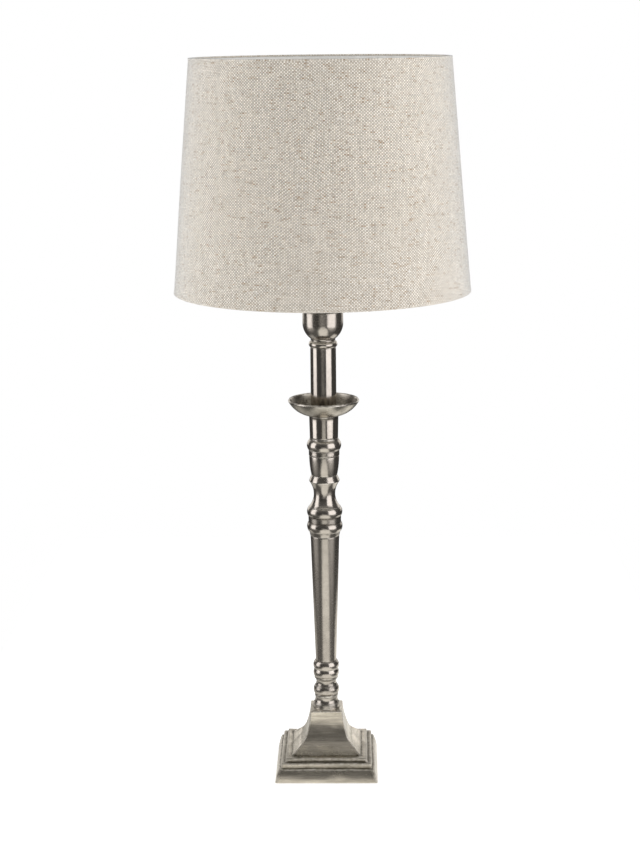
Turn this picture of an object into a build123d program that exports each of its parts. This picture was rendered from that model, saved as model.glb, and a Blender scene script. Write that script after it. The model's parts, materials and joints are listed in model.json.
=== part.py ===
"""Candlestick table lamp: stepped square base, turned stem, drip pan, candle tube and drum shade.

Millimetres. The origin is the centre of the base on the table, +Z is up, the front faces -Y and
the cord comes in at the rear, +Y. Every turned piece is threaded on one central tube.
"""
from build123d import *
import math
import os

os.makedirs("parts", exist_ok=True)

# ------------------------------------------------------------------ clearances
slip = 0.3              # a turned piece or a loose part round the central tube
spigot_gap = 0.1        # a spigot in the tube that it centres
screw_gap = 0.05        # a screw's shank in its hole
turning_gap = 0.25      # between pieces that turn on each other
thread_gap = 0.3        # between the threads of pieces that screw together

# ------------------------------------------------------------------ central tube and its nuts
tube_radius = 5.0
tube_bore_radius = 3.75
tube_chamfer = 0.5
nut_across_flats = 17.0
nut_height = 4.0
washer_radius = 11.0
washer_thickness = 1.5
lock_washer_radius = 8.2
lock_washer_thickness = 1.2
lock_washer_gap_angle = 14.0
tube_below_nut = 1.0

# ------------------------------------------------------------------ square base casting
felt_proud = 0.5
base_foot_half = 54.0
block_height = 14.0
block_draft = 4.0
block_top_half = base_foot_half - block_draft
step1_inset = 1.7
step1_half = block_top_half - step1_inset
step1_height = 5.6
step1_draft = 0.8
step2_inset = 4.9
step2_half = step1_half - step2_inset
step2_height = 4.0
step2_draft = 0.7
sweep_inset = 6.1
sweep_half = step2_half - step2_draft - sweep_inset
sweep_rise = 42.4
sweep_line_rise = 8.0
knee_half = 22.0
knee_run = 5.6
knee_rise = 16.4
neck_half = 16.9
neck_thickness = 10.0
edge_round = 0.9
root_round = 0.4
casting_wall = 4.0

# ------------------------------------------------------------------ inside the base
felt_thickness = 2.0
felt_edge_gap = 0.5
felt_corner_radius = 3.0
plate_thickness = 2.4
plate_edge_gap = 0.4
plate_corner_radius = 2.0
weight_side_gap = 1.0
weight_recess_radius = 12.5
weight_recess_depth = 12.0
weight_hub_inset = 10.6
weight_hub_rise = 6.0
plate_screw_inset = 9.5
plate_screw_radius = 2.0
plate_screw_head_radius = 3.8
plate_screw_head_angle = 90.0
plate_screw_length = 8.0
cable_height = 8.0
cable_channel_width = 9.0
cable_channel_height = 7.8
bush_bore_radius = 3.2
bush_neck_radius = 4.4
bush_flange_radius = 5.7
bush_flange_thickness = 1.6
bush_seat_depth = 0.3
bush_edge_round = 0.5

# ------------------------------------------------------------------ lower baluster
baluster_foot_radius = 14.5
baluster_foot_top_radius = 13.7
baluster_foot_height = 5.3
baluster_cove_radius = 13.5
baluster_cove_height = 7.8
baluster_cove_depth = 0.95
baluster_band_radius = 12.5
baluster_band_height = 2.0
baluster_bead_radius = 12.2
baluster_bead_height = 9.3
baluster_bead_swell = 1.4
baluster_neck_radius = 12.0
baluster_neck_height = 8.3
baluster_neck_depth = 1.35
baluster_lip_radius = 12.5
baluster_lip_height = 2.0
baluster_top_bead_height = 8.0
baluster_top_bead_swell = 1.05
baluster_groove_height = 0.5

# ------------------------------------------------------------------ tapered column and the bead under it
column_bead_foot_radius = 12.7
column_bead_top_radius = 11.6
column_bead_height = 9.0
column_bead_swell = 1.45
column_foot_radius = 10.9
column_top_radius = 15.1
column_height = 137.5
column_wall = 3.0
column_end_web = 8.0

# ------------------------------------------------------------------ collar with two beads
collar_flare_foot_radius = 15.2
collar_flare_top_radius = 16.2
collar_flare_height = 4.6
collar_root_radius = 16.6
collar_lower_bead_height = 10.2
collar_bead_swell = 1.7
collar_band_radius = 17.0
collar_band_height = 6.2
collar_upper_bead_height = 10.0
collar_top_radius = 16.5

# ------------------------------------------------------------------ waisted stem with a sharp ring
waist_foot_radius = 16.3
waist_radius = 11.15
waist_lower_height = 13.5
waist_upper_height = 12.8
ring_foot_radius = 15.0
ring_radius = 15.75
ring_edge_height = 1.1
ring_land_height = 0.8
ring_shoulder_radius = 13.4
ring_shoulder_height = 5.8

# ------------------------------------------------------------------ urn and its collar
urn_foot_radius = 13.4
urn_top_radius = 15.6
urn_height = 20.5
urn_swell = 0.5
urn_band_groove_height = 0.6
urn_band_groove_depth = 0.5
urn_band_radius = 15.9
urn_band_height = 5.6
urn_bead_foot_radius = 16.1
urn_bead_top_radius = 15.0
urn_bead_height = 11.2
urn_bead_swell = 2.2
urn_top_collar_radius = 14.8
urn_top_collar_height = 1.6

# ------------------------------------------------------------------ plain socket under the pan
pan_socket_foot_radius = 14.6
pan_socket_top_radius = 15.1
pan_socket_height = 24.0
pan_socket_lip_height = 2.0
pan_socket_lip_flare = 0.5
pan_socket_wall = 3.0
pan_socket_web = 5.0

# ------------------------------------------------------------------ drip pan
pan_radius = 36.8
pan_seat_radius = 16.0
pan_height = 16.8
pan_swell = 3.0
pan_wall = 2.0
pan_floor_radius = 19.0
pan_floor_thickness = 3.0
pan_rim_drop = 1.6

# ------------------------------------------------------------------ candle tube and its collar
candle_radius = 13.2
candle_wall = 1.2
candle_height = 68.5
candle_spigot_height = 4.0
candle_collar_foot_radius = 13.4
candle_collar_bead_height = 5.8
candle_collar_bead_swell = 1.35
candle_collar_neck_radius = 13.0
candle_collar_neck_height = 3.5
candle_collar_neck_depth = 0.7
candle_collar_spigot_wall = 3.0

# ------------------------------------------------------------------ socket cup
cup_foot_radius = 13.6
cup_radius = 20.9
cup_bowl_height = 15.7
cup_bowl_swell = 1.95
cup_wall_height = 12.0
cup_wall = 1.2
cup_lip_round = 0.5

# ------------------------------------------------------------------ lampholder for an E27 bulb
holder_cap_boss_radius = 8.5
holder_cap_boss_height = 8.0
holder_cap_height = 17.5
holder_cap_radius = 18.6
holder_cap_wall = 2.4
holder_cap_grip = 6.0
holder_skirt_radius = 18.6
holder_skirt_wall = 1.3
holder_flange_radius = 23.0
holder_flange_thickness = 2.5
holder_thread_radius = 19.9
holder_thread_length = 19.2
holder_flange_above_cup = 28.5
shade_seat_height = 8.0
grub_screw_radius = 1.5
grub_screw_length = 4.0
grub_screw_slot = 0.75
contact_block_floor = 10.0
contact_block_skirt_wall = 3.0
contact_block_post_radius = 4.0
thread_shell_wall = 0.6
thread_shell_height = 22.0
centre_contact_width = 6.0
centre_contact_length = 13.0
centre_contact_thickness = 0.5
centre_contact_fold = 1.5
centre_contact_reach = 3.25
centre_contact_spring = 3.2
terminal_screw_spacing = 16.0
terminal_screw_radius = 1.5
terminal_screw_head_radius = 2.7
terminal_screw_head_height = 1.8
terminal_screw_length = 7.0

# ------------------------------------------------------------------ shade and the ring that clamps it
shade_height = 234.0
shade_bottom_radius = 151.0
shade_top_radius = 131.0
linen_thickness = 0.8
lining_thickness = 0.6
roll_height = 1.8
roll_proud = 0.25
roll_round = 0.45
frame_wire_radius = 1.5
fitter_ring_radius = 27.5
fitter_ring_thickness = 1.5
fitter_arm_count = 3
fitter_arm_radius = 1.3
fitter_arm_turn = 30.0
fitter_arm_bend_inset = 16.0
fitter_arm_bend_radius = 5.0
ring_washer_radius = 25.5
ring_washer_thickness = 1.0
clamp_ring_radius = 26.5
clamp_ring_flange_thickness = 2.0
clamp_ring_height = 7.0
clamp_ring_body_radius = 23.5
clamp_ring_grip_count = 24
clamp_ring_grip_radius = 0.9

# ------------------------------------------------------------------ bulb
bulb_cap_radius = 13.1
bulb_cap_core_radius = 12.45
bulb_thread_pitch = 3.63
bulb_thread_turns = 4
bulb_thread_round = 0.95
bulb_thread_start = 2.6
bulb_cap_height = 19.0
bulb_cap_wall = 0.4
bulb_tip_radius = 4.8
bulb_tip_height = 1.4
bulb_insulator_radius = 11.2
bulb_insulator_height = 3.8
bulb_neck_radius = 14.2
bulb_neck_height = 4.0
bulb_housing_height = 26.0
bulb_housing_radius = 27.5
bulb_housing_wall = 1.4
bulb_housing_flare = 1.5
bulb_globe_radius = 30.0
bulb_globe_wall = 1.0
led_board_radius = 22.0
led_board_thickness = 1.5
led_board_drop = 3.0
led_board_ledge = 1.5
driver_board_width = 19.0
driver_board_height = 24.0
driver_board_thickness = 1.6


def level(*heights):
    """The levels that a stack of heights reaches, one after the other."""
    levels = [heights[0]]
    for height in heights[1:]:
        levels.append(levels[-1] + height)
    return levels


def save(name, piece):
    """Label one finished piece and write its STEP file."""
    piece.part.label = name
    export_step(piece.part, f"parts/{name}.step")


# ------------------------------------------------------------------ levels from the table up
casting_bottom, block_top, step1_top, step2_top, neck_top = level(
    felt_proud, block_height, step1_height, step2_height, sweep_rise)
knee_level = step2_top + knee_rise
plate_bottom = felt_thickness
plate_top = plate_bottom + plate_thickness
chamber_half = block_top_half - casting_wall
chamber_top = block_top - casting_wall
middle_half = step1_half - step1_draft - casting_wall
middle_top = step1_top - casting_wall
upper_half = step2_half - step2_draft - casting_wall
upper_top = step2_top - casting_wall
hollow_sweep_half = sweep_half - casting_wall
weight_hub_half = hollow_sweep_half - weight_hub_inset
plate_screw_spacing = 2 * (middle_half - weight_side_gap - plate_screw_inset)
recess_top = plate_top + weight_recess_depth
tube_bottom = recess_top - washer_thickness - lock_washer_thickness - nut_height - tube_below_nut

baluster_height = (baluster_foot_height + baluster_cove_height + baluster_band_height
                   + baluster_bead_height + baluster_neck_height + baluster_lip_height
                   + baluster_top_bead_height + baluster_groove_height)
collar_height = (collar_flare_height + collar_lower_bead_height + collar_band_height
                 + collar_upper_bead_height)
waist_height = (waist_lower_height + waist_upper_height + ring_edge_height + ring_land_height
                + ring_shoulder_height)
urn_collar_height = (urn_band_groove_height + urn_band_height + urn_bead_height
                     + urn_top_collar_height)
candle_collar_height = candle_collar_bead_height + candle_collar_neck_height
cup_height = cup_bowl_height + cup_wall_height

baluster_bottom = neck_top
column_bead_bottom = baluster_bottom + baluster_height
column_bottom = column_bead_bottom + column_bead_height
collar_bottom = column_bottom + column_height
waist_bottom = collar_bottom + collar_height
urn_bottom = waist_bottom + waist_height
urn_collar_bottom = urn_bottom + urn_height
pan_socket_bottom = urn_collar_bottom + urn_collar_height
pan_bottom = pan_socket_bottom + pan_socket_height
candle_bottom = pan_bottom + pan_floor_thickness
candle_collar_bottom = candle_bottom + candle_height
cup_bottom = candle_collar_bottom + candle_collar_height
cup_floor = cup_bottom + cup_wall
cup_top = cup_bottom + cup_height
top_nut_top = cup_floor + nut_height
tube_top = top_nut_top + holder_cap_grip

holder_cap_top = top_nut_top + holder_cap_height
holder_flange_top = cup_top + holder_flange_above_cup
fitter_bottom = holder_flange_top + turning_gap
shade_bottom = fitter_bottom - shade_seat_height
shade_top = shade_bottom + shade_height
holder_top = holder_flange_top + holder_thread_length
print("lamp height", round(shade_top, 2), "cup top", round(cup_top, 2),
      "holder flange", round(holder_flange_top, 2), "tube", round(tube_top - tube_bottom, 1))

bore = tube_radius + slip

# ================================================================== base
with BuildSketch() as casting_outline:
    with BuildLine():
        steps = FilletPolyline(
            (base_foot_half, casting_bottom),
            (block_top_half, block_top),
            (step1_half, block_top),
            (step1_half - step1_draft, step1_top),
            (step2_half, step1_top),
            (step2_half - step2_draft, step2_top),
            (sweep_half, step2_top),
            (knee_half + knee_run, step2_top + sweep_line_rise),
            radius=[edge_round, root_round, edge_round, root_round, edge_round, root_round],
        )
        knee = TangentArc(steps @ 1, (knee_half, knee_level), tangent=steps % 1)
        TangentArc(knee @ 1, (neck_half, neck_top), tangent=knee % 1)
        mirror(about=Plane.YZ)
        Line((-neck_half, neck_top), (neck_half, neck_top))
        Line((-base_foot_half, casting_bottom), (base_foot_half, casting_bottom))
    make_face()

# the hollow under the casting follows its outside, one wall in
with BuildSketch() as hollow_outline:
    with BuildLine():
        Polyline(
            (0, casting_bottom),
            (chamber_half, casting_bottom),
            (chamber_half, chamber_top),
            (middle_half, chamber_top),
            (middle_half, middle_top),
            (upper_half, middle_top),
            (upper_half, upper_top),
            (hollow_sweep_half, upper_top),
            (knee_half - casting_wall, knee_level - casting_wall / 2),
            (neck_half - casting_wall, neck_top - neck_thickness),
            (0, neck_top - neck_thickness),
            close=True,
        )
    make_face()
    mirror(about=Plane.YZ)

with BuildPart() as hollow:
    with BuildSketch(Plane.XZ):
        add(hollow_outline.sketch)
    extrude(amount=base_foot_half, both=True)
    with BuildSketch(Plane.YZ):
        add(hollow_outline.sketch)
    extrude(amount=base_foot_half, both=True, mode=Mode.INTERSECT)

bush_seat = block_top_half + bush_seat_depth
bush_inner_length = bush_seat - chamber_half
with BuildPart() as base_casting:
    with BuildSketch(Plane.XZ):
        add(casting_outline.sketch)
    extrude(amount=base_foot_half, both=True)
    with BuildSketch(Plane.YZ):
        add(casting_outline.sketch)
    extrude(amount=base_foot_half, both=True, mode=Mode.INTERSECT)
    add(hollow.part, mode=Mode.SUBTRACT)
    with Locations((0, 0, neck_top)):
        Hole(radius=bore)
    # flat seat and hole for the cord's bush, through the rear wall
    with BuildSketch(Plane.XZ.offset(-bush_seat)):
        with Locations((0, cable_height)):
            Circle(bush_flange_radius + slip)
    extrude(amount=-base_foot_half, mode=Mode.SUBTRACT)
    with BuildSketch(Plane.XZ.offset(-bush_seat)):
        with Locations((0, cable_height)):
            Circle(bush_neck_radius + screw_gap)
    extrude(amount=bush_inner_length + casting_wall, mode=Mode.SUBTRACT)
save("base_casting", base_casting)

with BuildPart() as base_weight:
    with BuildSketch(Plane.XY.offset(plate_top)):
        Rectangle(2 * (middle_half - weight_side_gap), 2 * (middle_half - weight_side_gap))
    extrude(amount=middle_top - plate_top)
    with BuildSketch(Plane.XY.offset(middle_top)):
        Rectangle(2 * (upper_half - weight_side_gap), 2 * (upper_half - weight_side_gap))
    extrude(amount=upper_top - middle_top)
    with BuildSketch(Plane.XY.offset(upper_top)):
        Rectangle(2 * weight_hub_half, 2 * weight_hub_half)
    extrude(amount=weight_hub_rise)
    with BuildSketch(Plane.XY.offset(plate_top)):
        Circle(weight_recess_radius)
        with Locations((0, middle_half / 2)):
            Rectangle(cable_channel_width, middle_half)
    extrude(amount=cable_channel_height, mode=Mode.SUBTRACT)
    with BuildSketch(Plane.XY.offset(plate_top)):
        Circle(weight_recess_radius)
    extrude(amount=weight_recess_depth, mode=Mode.SUBTRACT)
    with Locations((0, 0, upper_top + weight_hub_rise)):
        Hole(radius=bore)
    with BuildSketch(Plane.XY.offset(plate_top)):
        with GridLocations(plate_screw_spacing, plate_screw_spacing, 2, 2):
            Circle(plate_screw_radius + screw_gap)
    extrude(amount=plate_screw_length, mode=Mode.SUBTRACT)
save("base_weight", base_weight)

with BuildPart() as bottom_plate:
    with BuildSketch(Plane.XY.offset(plate_bottom)):
        RectangleRounded(2 * (chamber_half - plate_edge_gap), 2 * (chamber_half - plate_edge_gap),
                         plate_corner_radius)
    extrude(amount=plate_thickness)
    with Locations(Plane(origin=(0, 0, plate_bottom), z_dir=(0, 0, -1))):
        with GridLocations(plate_screw_spacing, plate_screw_spacing, 2, 2):
            CounterSinkHole(plate_screw_radius + screw_gap, plate_screw_head_radius + screw_gap,
                            counter_sink_angle=plate_screw_head_angle)
save("bottom_plate", bottom_plate)

head_depth = plate_screw_head_radius - plate_screw_radius
with BuildPart() as plate_screws:
    with BuildSketch(Plane.XY.offset(plate_bottom)):
        with GridLocations(plate_screw_spacing, plate_screw_spacing, 2, 2):
            Circle(plate_screw_head_radius)
    extrude(amount=head_depth, taper=plate_screw_head_angle / 2)
    with BuildSketch(Plane.XY.offset(plate_bottom + head_depth)):
        with GridLocations(plate_screw_spacing, plate_screw_spacing, 2, 2):
            Circle(plate_screw_radius)
    extrude(amount=plate_thickness + plate_screw_length - head_depth - slip)
save("plate_screws", plate_screws)

with BuildPart() as felt_pad:
    with BuildSketch():
        RectangleRounded(2 * (chamber_half - felt_edge_gap), 2 * (chamber_half - felt_edge_gap),
                         felt_corner_radius)
    extrude(amount=felt_thickness)
save("felt_pad", felt_pad)

with BuildPart() as cable_bush:
    with BuildSketch(Plane.XZ.offset(-bush_seat)):
        with Locations((0, cable_height)):
            Circle(bush_flange_radius)
    extrude(amount=-bush_flange_thickness)
    with BuildSketch(Plane.XZ.offset(-bush_seat)):
        with Locations((0, cable_height)):
            Circle(bush_neck_radius)
    extrude(amount=bush_inner_length)
    with BuildSketch(Plane.XZ.offset(-bush_seat - bush_flange_thickness)):
        with Locations((0, cable_height)):
            Circle(bush_bore_radius)
    extrude(amount=bush_flange_thickness + bush_inner_length, mode=Mode.SUBTRACT)
    fillet(cable_bush.edges().filter_by(GeomType.CIRCLE).sort_by(Axis.Y)[-1],
           radius=bush_edge_round)
save("cable_bush", cable_bush)

# ================================================================== central tube and its nuts
with BuildPart() as threaded_tube:
    with BuildSketch(Plane.XY.offset(tube_bottom)):
        Circle(tube_radius)
    extrude(amount=tube_top - tube_bottom)
    chamfer(threaded_tube.edges().filter_by(GeomType.CIRCLE), length=tube_chamfer)
    with Locations((0, 0, tube_top)):
        Hole(radius=tube_bore_radius)
save("threaded_tube", threaded_tube)

with BuildPart() as rod_washer:
    with BuildSketch(Plane.XY.offset(recess_top - washer_thickness)):
        Circle(washer_radius)
        Circle(bore, mode=Mode.SUBTRACT)
    extrude(amount=washer_thickness)
save("rod_washer", rod_washer)

lock_washer_bottom = recess_top - washer_thickness - lock_washer_thickness
with BuildPart() as lock_washer:
    with BuildSketch(Plane.XZ):
        with Locations(((bore + lock_washer_radius) / 2, lock_washer_bottom + lock_washer_thickness / 2)):
            Rectangle(lock_washer_radius - bore, lock_washer_thickness)
    revolve(axis=Axis.Z, revolution_arc=360 - lock_washer_gap_angle)
save("lock_washer", lock_washer)

for nut_name, nut_bottom in (("rod_nut", lock_washer_bottom - nut_height), ("top_nut", cup_floor)):
    with BuildPart() as nut:
        with BuildSketch(Plane.XY.offset(nut_bottom)):
            RegularPolygon(nut_across_flats / 2, 6, major_radius=False)
            Circle(tube_radius, mode=Mode.SUBTRACT)
        extrude(amount=nut_height)
    save(nut_name, nut)

# ================================================================== lower baluster
z = level(baluster_bottom, baluster_foot_height, baluster_cove_height, baluster_band_height,
          baluster_bead_height, baluster_neck_height, baluster_lip_height,
          baluster_top_bead_height, baluster_groove_height)
with BuildPart() as lower_baluster:
    with BuildSketch(Plane.XZ):
        with BuildLine():
            Polyline((bore, z[0]), (baluster_foot_radius, z[0]),
                     (baluster_foot_top_radius, z[1]), (baluster_cove_radius, z[1]))
            SagittaArc((baluster_cove_radius, z[1]), (baluster_bead_radius, z[2]),
                       baluster_cove_depth)
            Polyline((baluster_bead_radius, z[2]), (baluster_band_radius, z[2]),
                     (baluster_band_radius, z[3]), (baluster_bead_radius, z[3]))
            SagittaArc((baluster_bead_radius, z[3]), (baluster_bead_radius, z[4]),
                       -baluster_bead_swell)
            Line((baluster_bead_radius, z[4]), (baluster_neck_radius, z[4]))
            SagittaArc((baluster_neck_radius, z[4]), (baluster_neck_radius, z[5]),
                       baluster_neck_depth)
            Polyline((baluster_neck_radius, z[5]), (baluster_lip_radius, z[5]),
                     (baluster_lip_radius, z[6]))
            SagittaArc((baluster_lip_radius, z[6]), (baluster_lip_radius, z[7]),
                       -baluster_top_bead_swell)
            Polyline((baluster_lip_radius, z[7]), (baluster_lip_radius, z[8]),
                     (bore, z[8]), (bore, z[0]))
        make_face()
    revolve(axis=Axis.Z)
save("lower_baluster", lower_baluster)

with BuildPart() as column_bead:
    with BuildSketch(Plane.XZ):
        with BuildLine():
            Line((bore, column_bead_bottom), (column_bead_foot_radius, column_bead_bottom))
            SagittaArc((column_bead_foot_radius, column_bead_bottom),
                       (column_bead_top_radius, column_bottom), -column_bead_swell)
            Polyline((column_bead_top_radius, column_bottom), (bore, column_bottom),
                     (bore, column_bead_bottom))
        make_face()
    revolve(axis=Axis.Z)
save("column_bead", column_bead)

with BuildPart() as tapered_column:
    with BuildSketch(Plane.XZ):
        with BuildLine():
            Polyline(
                (bore, column_bottom),
                (column_foot_radius, column_bottom),
                (column_top_radius, collar_bottom),
                (bore, collar_bottom),
                (bore, collar_bottom - column_end_web),
                (column_top_radius - column_wall, collar_bottom - column_end_web),
                (column_foot_radius - column_wall, column_bottom + column_end_web),
                (bore, column_bottom + column_end_web),
                close=True,
            )
        make_face()
    revolve(axis=Axis.Z)
save("tapered_column", tapered_column)

# ================================================================== collar with two beads
z = level(collar_bottom, collar_flare_height, collar_lower_bead_height, collar_band_height,
          collar_upper_bead_height)
with BuildPart() as column_collar:
    with BuildSketch(Plane.XZ):
        with BuildLine():
            Polyline((bore, z[0]), (collar_flare_foot_radius, z[0]),
                     (collar_flare_top_radius, z[1]), (collar_root_radius, z[1]))
            SagittaArc((collar_root_radius, z[1]), (collar_band_radius, z[2]), -collar_bead_swell)
            Line((collar_band_radius, z[2]), (collar_band_radius, z[3]))
            SagittaArc((collar_band_radius, z[3]), (collar_top_radius, z[4]), -collar_bead_swell)
            Polyline((collar_top_radius, z[4]), (bore, z[4]), (bore, z[0]))
        make_face()
    revolve(axis=Axis.Z)
save("column_collar", column_collar)

# ================================================================== waisted stem
z = level(waist_bottom, waist_lower_height, waist_upper_height, ring_edge_height,
          ring_land_height, ring_shoulder_height)
with BuildPart() as waisted_stem:
    with BuildSketch(Plane.XZ):
        with BuildLine():
            Line((bore, z[0]), (waist_foot_radius, z[0]))
            TangentArc((waist_radius, z[1]), (waist_foot_radius, z[0]), tangent=(0, -1))
            TangentArc((waist_radius, z[1]), (ring_foot_radius, z[2]), tangent=(0, 1))
            Polyline((ring_foot_radius, z[2]), (ring_radius, z[3]), (ring_radius, z[4]),
                     (ring_shoulder_radius, z[5]), (bore, z[5]), (bore, z[0]))
        make_face()
    revolve(axis=Axis.Z)
save("waisted_stem", waisted_stem)

# ================================================================== urn and its collar
with BuildPart() as urn:
    with BuildSketch(Plane.XZ):
        with BuildLine():
            Line((bore, urn_bottom), (urn_foot_radius, urn_bottom))
            SagittaArc((urn_foot_radius, urn_bottom), (urn_top_radius, urn_collar_bottom), -urn_swell)
            Polyline((urn_top_radius, urn_collar_bottom), (bore, urn_collar_bottom),
                     (bore, urn_bottom))
        make_face()
    revolve(axis=Axis.Z)
save("urn", urn)

z = level(urn_collar_bottom, urn_band_groove_height, urn_band_height, urn_bead_height,
          urn_top_collar_height)
with BuildPart() as urn_collar:
    with BuildSketch(Plane.XZ):
        with BuildLine():
            Polyline((bore, z[0]), (urn_band_radius - urn_band_groove_depth, z[0]),
                     (urn_band_radius - urn_band_groove_depth, z[1]), (urn_band_radius, z[1]),
                     (urn_band_radius, z[2]), (urn_bead_foot_radius, z[2]))
            SagittaArc((urn_bead_foot_radius, z[2]), (urn_bead_top_radius, z[3]), -urn_bead_swell)
            Polyline((urn_bead_top_radius, z[3]), (urn_top_collar_radius, z[3]),
                     (urn_top_collar_radius, z[4]), (bore, z[4]), (bore, z[0]))
        make_face()
    revolve(axis=Axis.Z)
save("urn_collar", urn_collar)

# ================================================================== socket under the pan, and pan
pan_socket_lip = pan_bottom - pan_socket_lip_height
with BuildPart() as pan_socket:
    with BuildSketch(Plane.XZ):
        with BuildLine():
            Polyline(
                (bore, pan_socket_bottom),
                (pan_socket_foot_radius, pan_socket_bottom),
                (pan_socket_top_radius, pan_socket_lip),
                (pan_socket_top_radius + pan_socket_lip_flare, pan_bottom),
                (bore, pan_bottom),
                (bore, pan_bottom - pan_socket_web),
                (pan_socket_top_radius - pan_socket_wall, pan_bottom - pan_socket_web),
                (pan_socket_foot_radius - pan_socket_wall, pan_socket_bottom + pan_socket_web),
                (bore, pan_socket_bottom + pan_socket_web),
                close=True,
            )
        make_face()
    revolve(axis=Axis.Z)
save("pan_socket", pan_socket)

spigot_radius = candle_radius - candle_wall - spigot_gap
pan_rim = pan_bottom + pan_height
with BuildPart() as drip_pan:
    with BuildSketch(Plane.XZ):
        with BuildLine():
            Line((bore, pan_bottom), (pan_seat_radius, pan_bottom))
            SagittaArc((pan_seat_radius, pan_bottom), (pan_radius, pan_rim - pan_rim_drop),
                       -pan_swell)
            Polyline((pan_radius, pan_rim - pan_rim_drop), (pan_radius - pan_wall / 2, pan_rim),
                     (pan_radius - pan_wall, pan_rim - pan_rim_drop / 2))
            SagittaArc((pan_radius - pan_wall, pan_rim - pan_rim_drop / 2),
                       (pan_floor_radius, candle_bottom), pan_swell)
            Polyline((pan_floor_radius, candle_bottom), (spigot_radius, candle_bottom),
                     (spigot_radius, candle_bottom + candle_spigot_height),
                     (bore, candle_bottom + candle_spigot_height), (bore, pan_bottom))
        make_face()
    revolve(axis=Axis.Z)
save("drip_pan", drip_pan)

# ================================================================== candle tube and its collar
with BuildPart() as candle_tube:
    with BuildSketch(Plane.XY.offset(candle_bottom)):
        Circle(candle_radius)
        Circle(candle_radius - candle_wall, mode=Mode.SUBTRACT)
    extrude(amount=candle_height)
save("candle_tube", candle_tube)

z = level(candle_collar_bottom, candle_collar_bead_height, candle_collar_neck_height)
with BuildPart() as tube_collar:
    with BuildSketch(Plane.XZ):
        with BuildLine():
            Polyline((bore, z[0] + candle_collar_spigot_wall),
                     (spigot_radius - candle_collar_spigot_wall, z[0] + candle_collar_spigot_wall),
                     (spigot_radius - candle_collar_spigot_wall, z[0] - candle_spigot_height),
                     (spigot_radius, z[0] - candle_spigot_height), (spigot_radius, z[0]),
                     (candle_collar_foot_radius, z[0]))
            SagittaArc((candle_collar_foot_radius, z[0]), (candle_collar_foot_radius, z[1]),
                       -candle_collar_bead_swell)
            Line((candle_collar_foot_radius, z[1]), (candle_collar_neck_radius, z[1]))
            SagittaArc((candle_collar_neck_radius, z[1]), (cup_foot_radius, z[2]),
                       candle_collar_neck_depth)
            Polyline((cup_foot_radius, z[2]), (bore, z[2]), (bore, z[0] + candle_collar_spigot_wall))
        make_face()
    revolve(axis=Axis.Z)
save("tube_collar", tube_collar)

# ================================================================== socket cup
cup_bowl_top = cup_bottom + cup_bowl_height
with BuildPart() as socket_cup:
    with BuildSketch(Plane.XZ):
        with BuildLine():
            Line((bore, cup_bottom), (cup_foot_radius, cup_bottom))
            SagittaArc((cup_foot_radius, cup_bottom), (cup_radius, cup_bowl_top), -cup_bowl_swell)
            Polyline((cup_radius, cup_bowl_top), (cup_radius, cup_top),
                     (cup_radius - cup_wall, cup_top), (cup_radius - cup_wall, cup_bowl_top))
            SagittaArc((cup_radius - cup_wall, cup_bowl_top), (cup_foot_radius - cup_wall, cup_floor),
                       cup_bowl_swell)
            Polyline((cup_foot_radius - cup_wall, cup_floor), (bore, cup_floor), (bore, cup_bottom))
        make_face()
    revolve(axis=Axis.Z)
    fillet(socket_cup.edges().filter_by(GeomType.CIRCLE).group_by(Axis.Z)[-1], radius=cup_lip_round)
save("socket_cup", socket_cup)

# ================================================================== lampholder
holder_bore_radius = holder_skirt_radius - holder_skirt_wall
cap_boss_top = top_nut_top + holder_cap_boss_height
grub_screw_level = top_nut_top + (holder_cap_boss_height - holder_cap_wall) / 2
with BuildPart() as holder_cap:
    with BuildSketch(Plane.XZ):
        with BuildLine():
            Polyline(
                (tube_radius, top_nut_top),
                (holder_cap_boss_radius, top_nut_top),
                (holder_cap_boss_radius, cap_boss_top - holder_cap_wall),
                (holder_cap_radius, cap_boss_top + holder_cap_wall),
                (holder_cap_radius, holder_cap_top),
                (holder_cap_radius - holder_cap_wall, holder_cap_top),
                (holder_cap_radius - holder_cap_wall, cap_boss_top + 2 * holder_cap_wall),
                (holder_cap_boss_radius, cap_boss_top),
                (tube_radius, cap_boss_top),
                close=True,
            )
        make_face()
    revolve(axis=Axis.Z)
    with BuildSketch(Plane.YZ):
        with Locations((0, grub_screw_level)):
            Circle(grub_screw_radius + screw_gap)
    extrude(amount=2 * holder_cap_boss_radius, mode=Mode.SUBTRACT)
save("holder_cap", holder_cap)

with BuildPart() as grub_screw:
    with BuildSketch(Plane.YZ.offset(tube_radius)):
        with Locations((0, grub_screw_level)):
            Circle(grub_screw_radius)
    extrude(amount=grub_screw_length)
    with BuildSketch(Plane.YZ.offset(tube_radius + grub_screw_length)):
        with Locations((0, grub_screw_level)):
            Rectangle(2 * grub_screw_radius, grub_screw_slot)
    extrude(amount=-grub_screw_slot, mode=Mode.SUBTRACT)
save("grub_screw", grub_screw)

with BuildPart() as holder_body:
    with BuildSketch(Plane.XZ):
        with BuildLine():
            Polyline(
                (holder_bore_radius, holder_cap_top),
                (holder_skirt_radius, holder_cap_top),
                (holder_skirt_radius, holder_flange_top - holder_flange_thickness),
                (holder_flange_radius, holder_flange_top - holder_flange_thickness),
                (holder_flange_radius, holder_flange_top),
                (holder_thread_radius, holder_flange_top),
                (holder_thread_radius, holder_top),
                (holder_bore_radius, holder_top),
                close=True,
            )
        make_face()
    revolve(axis=Axis.Z)
save("holder_body", holder_body)

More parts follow.
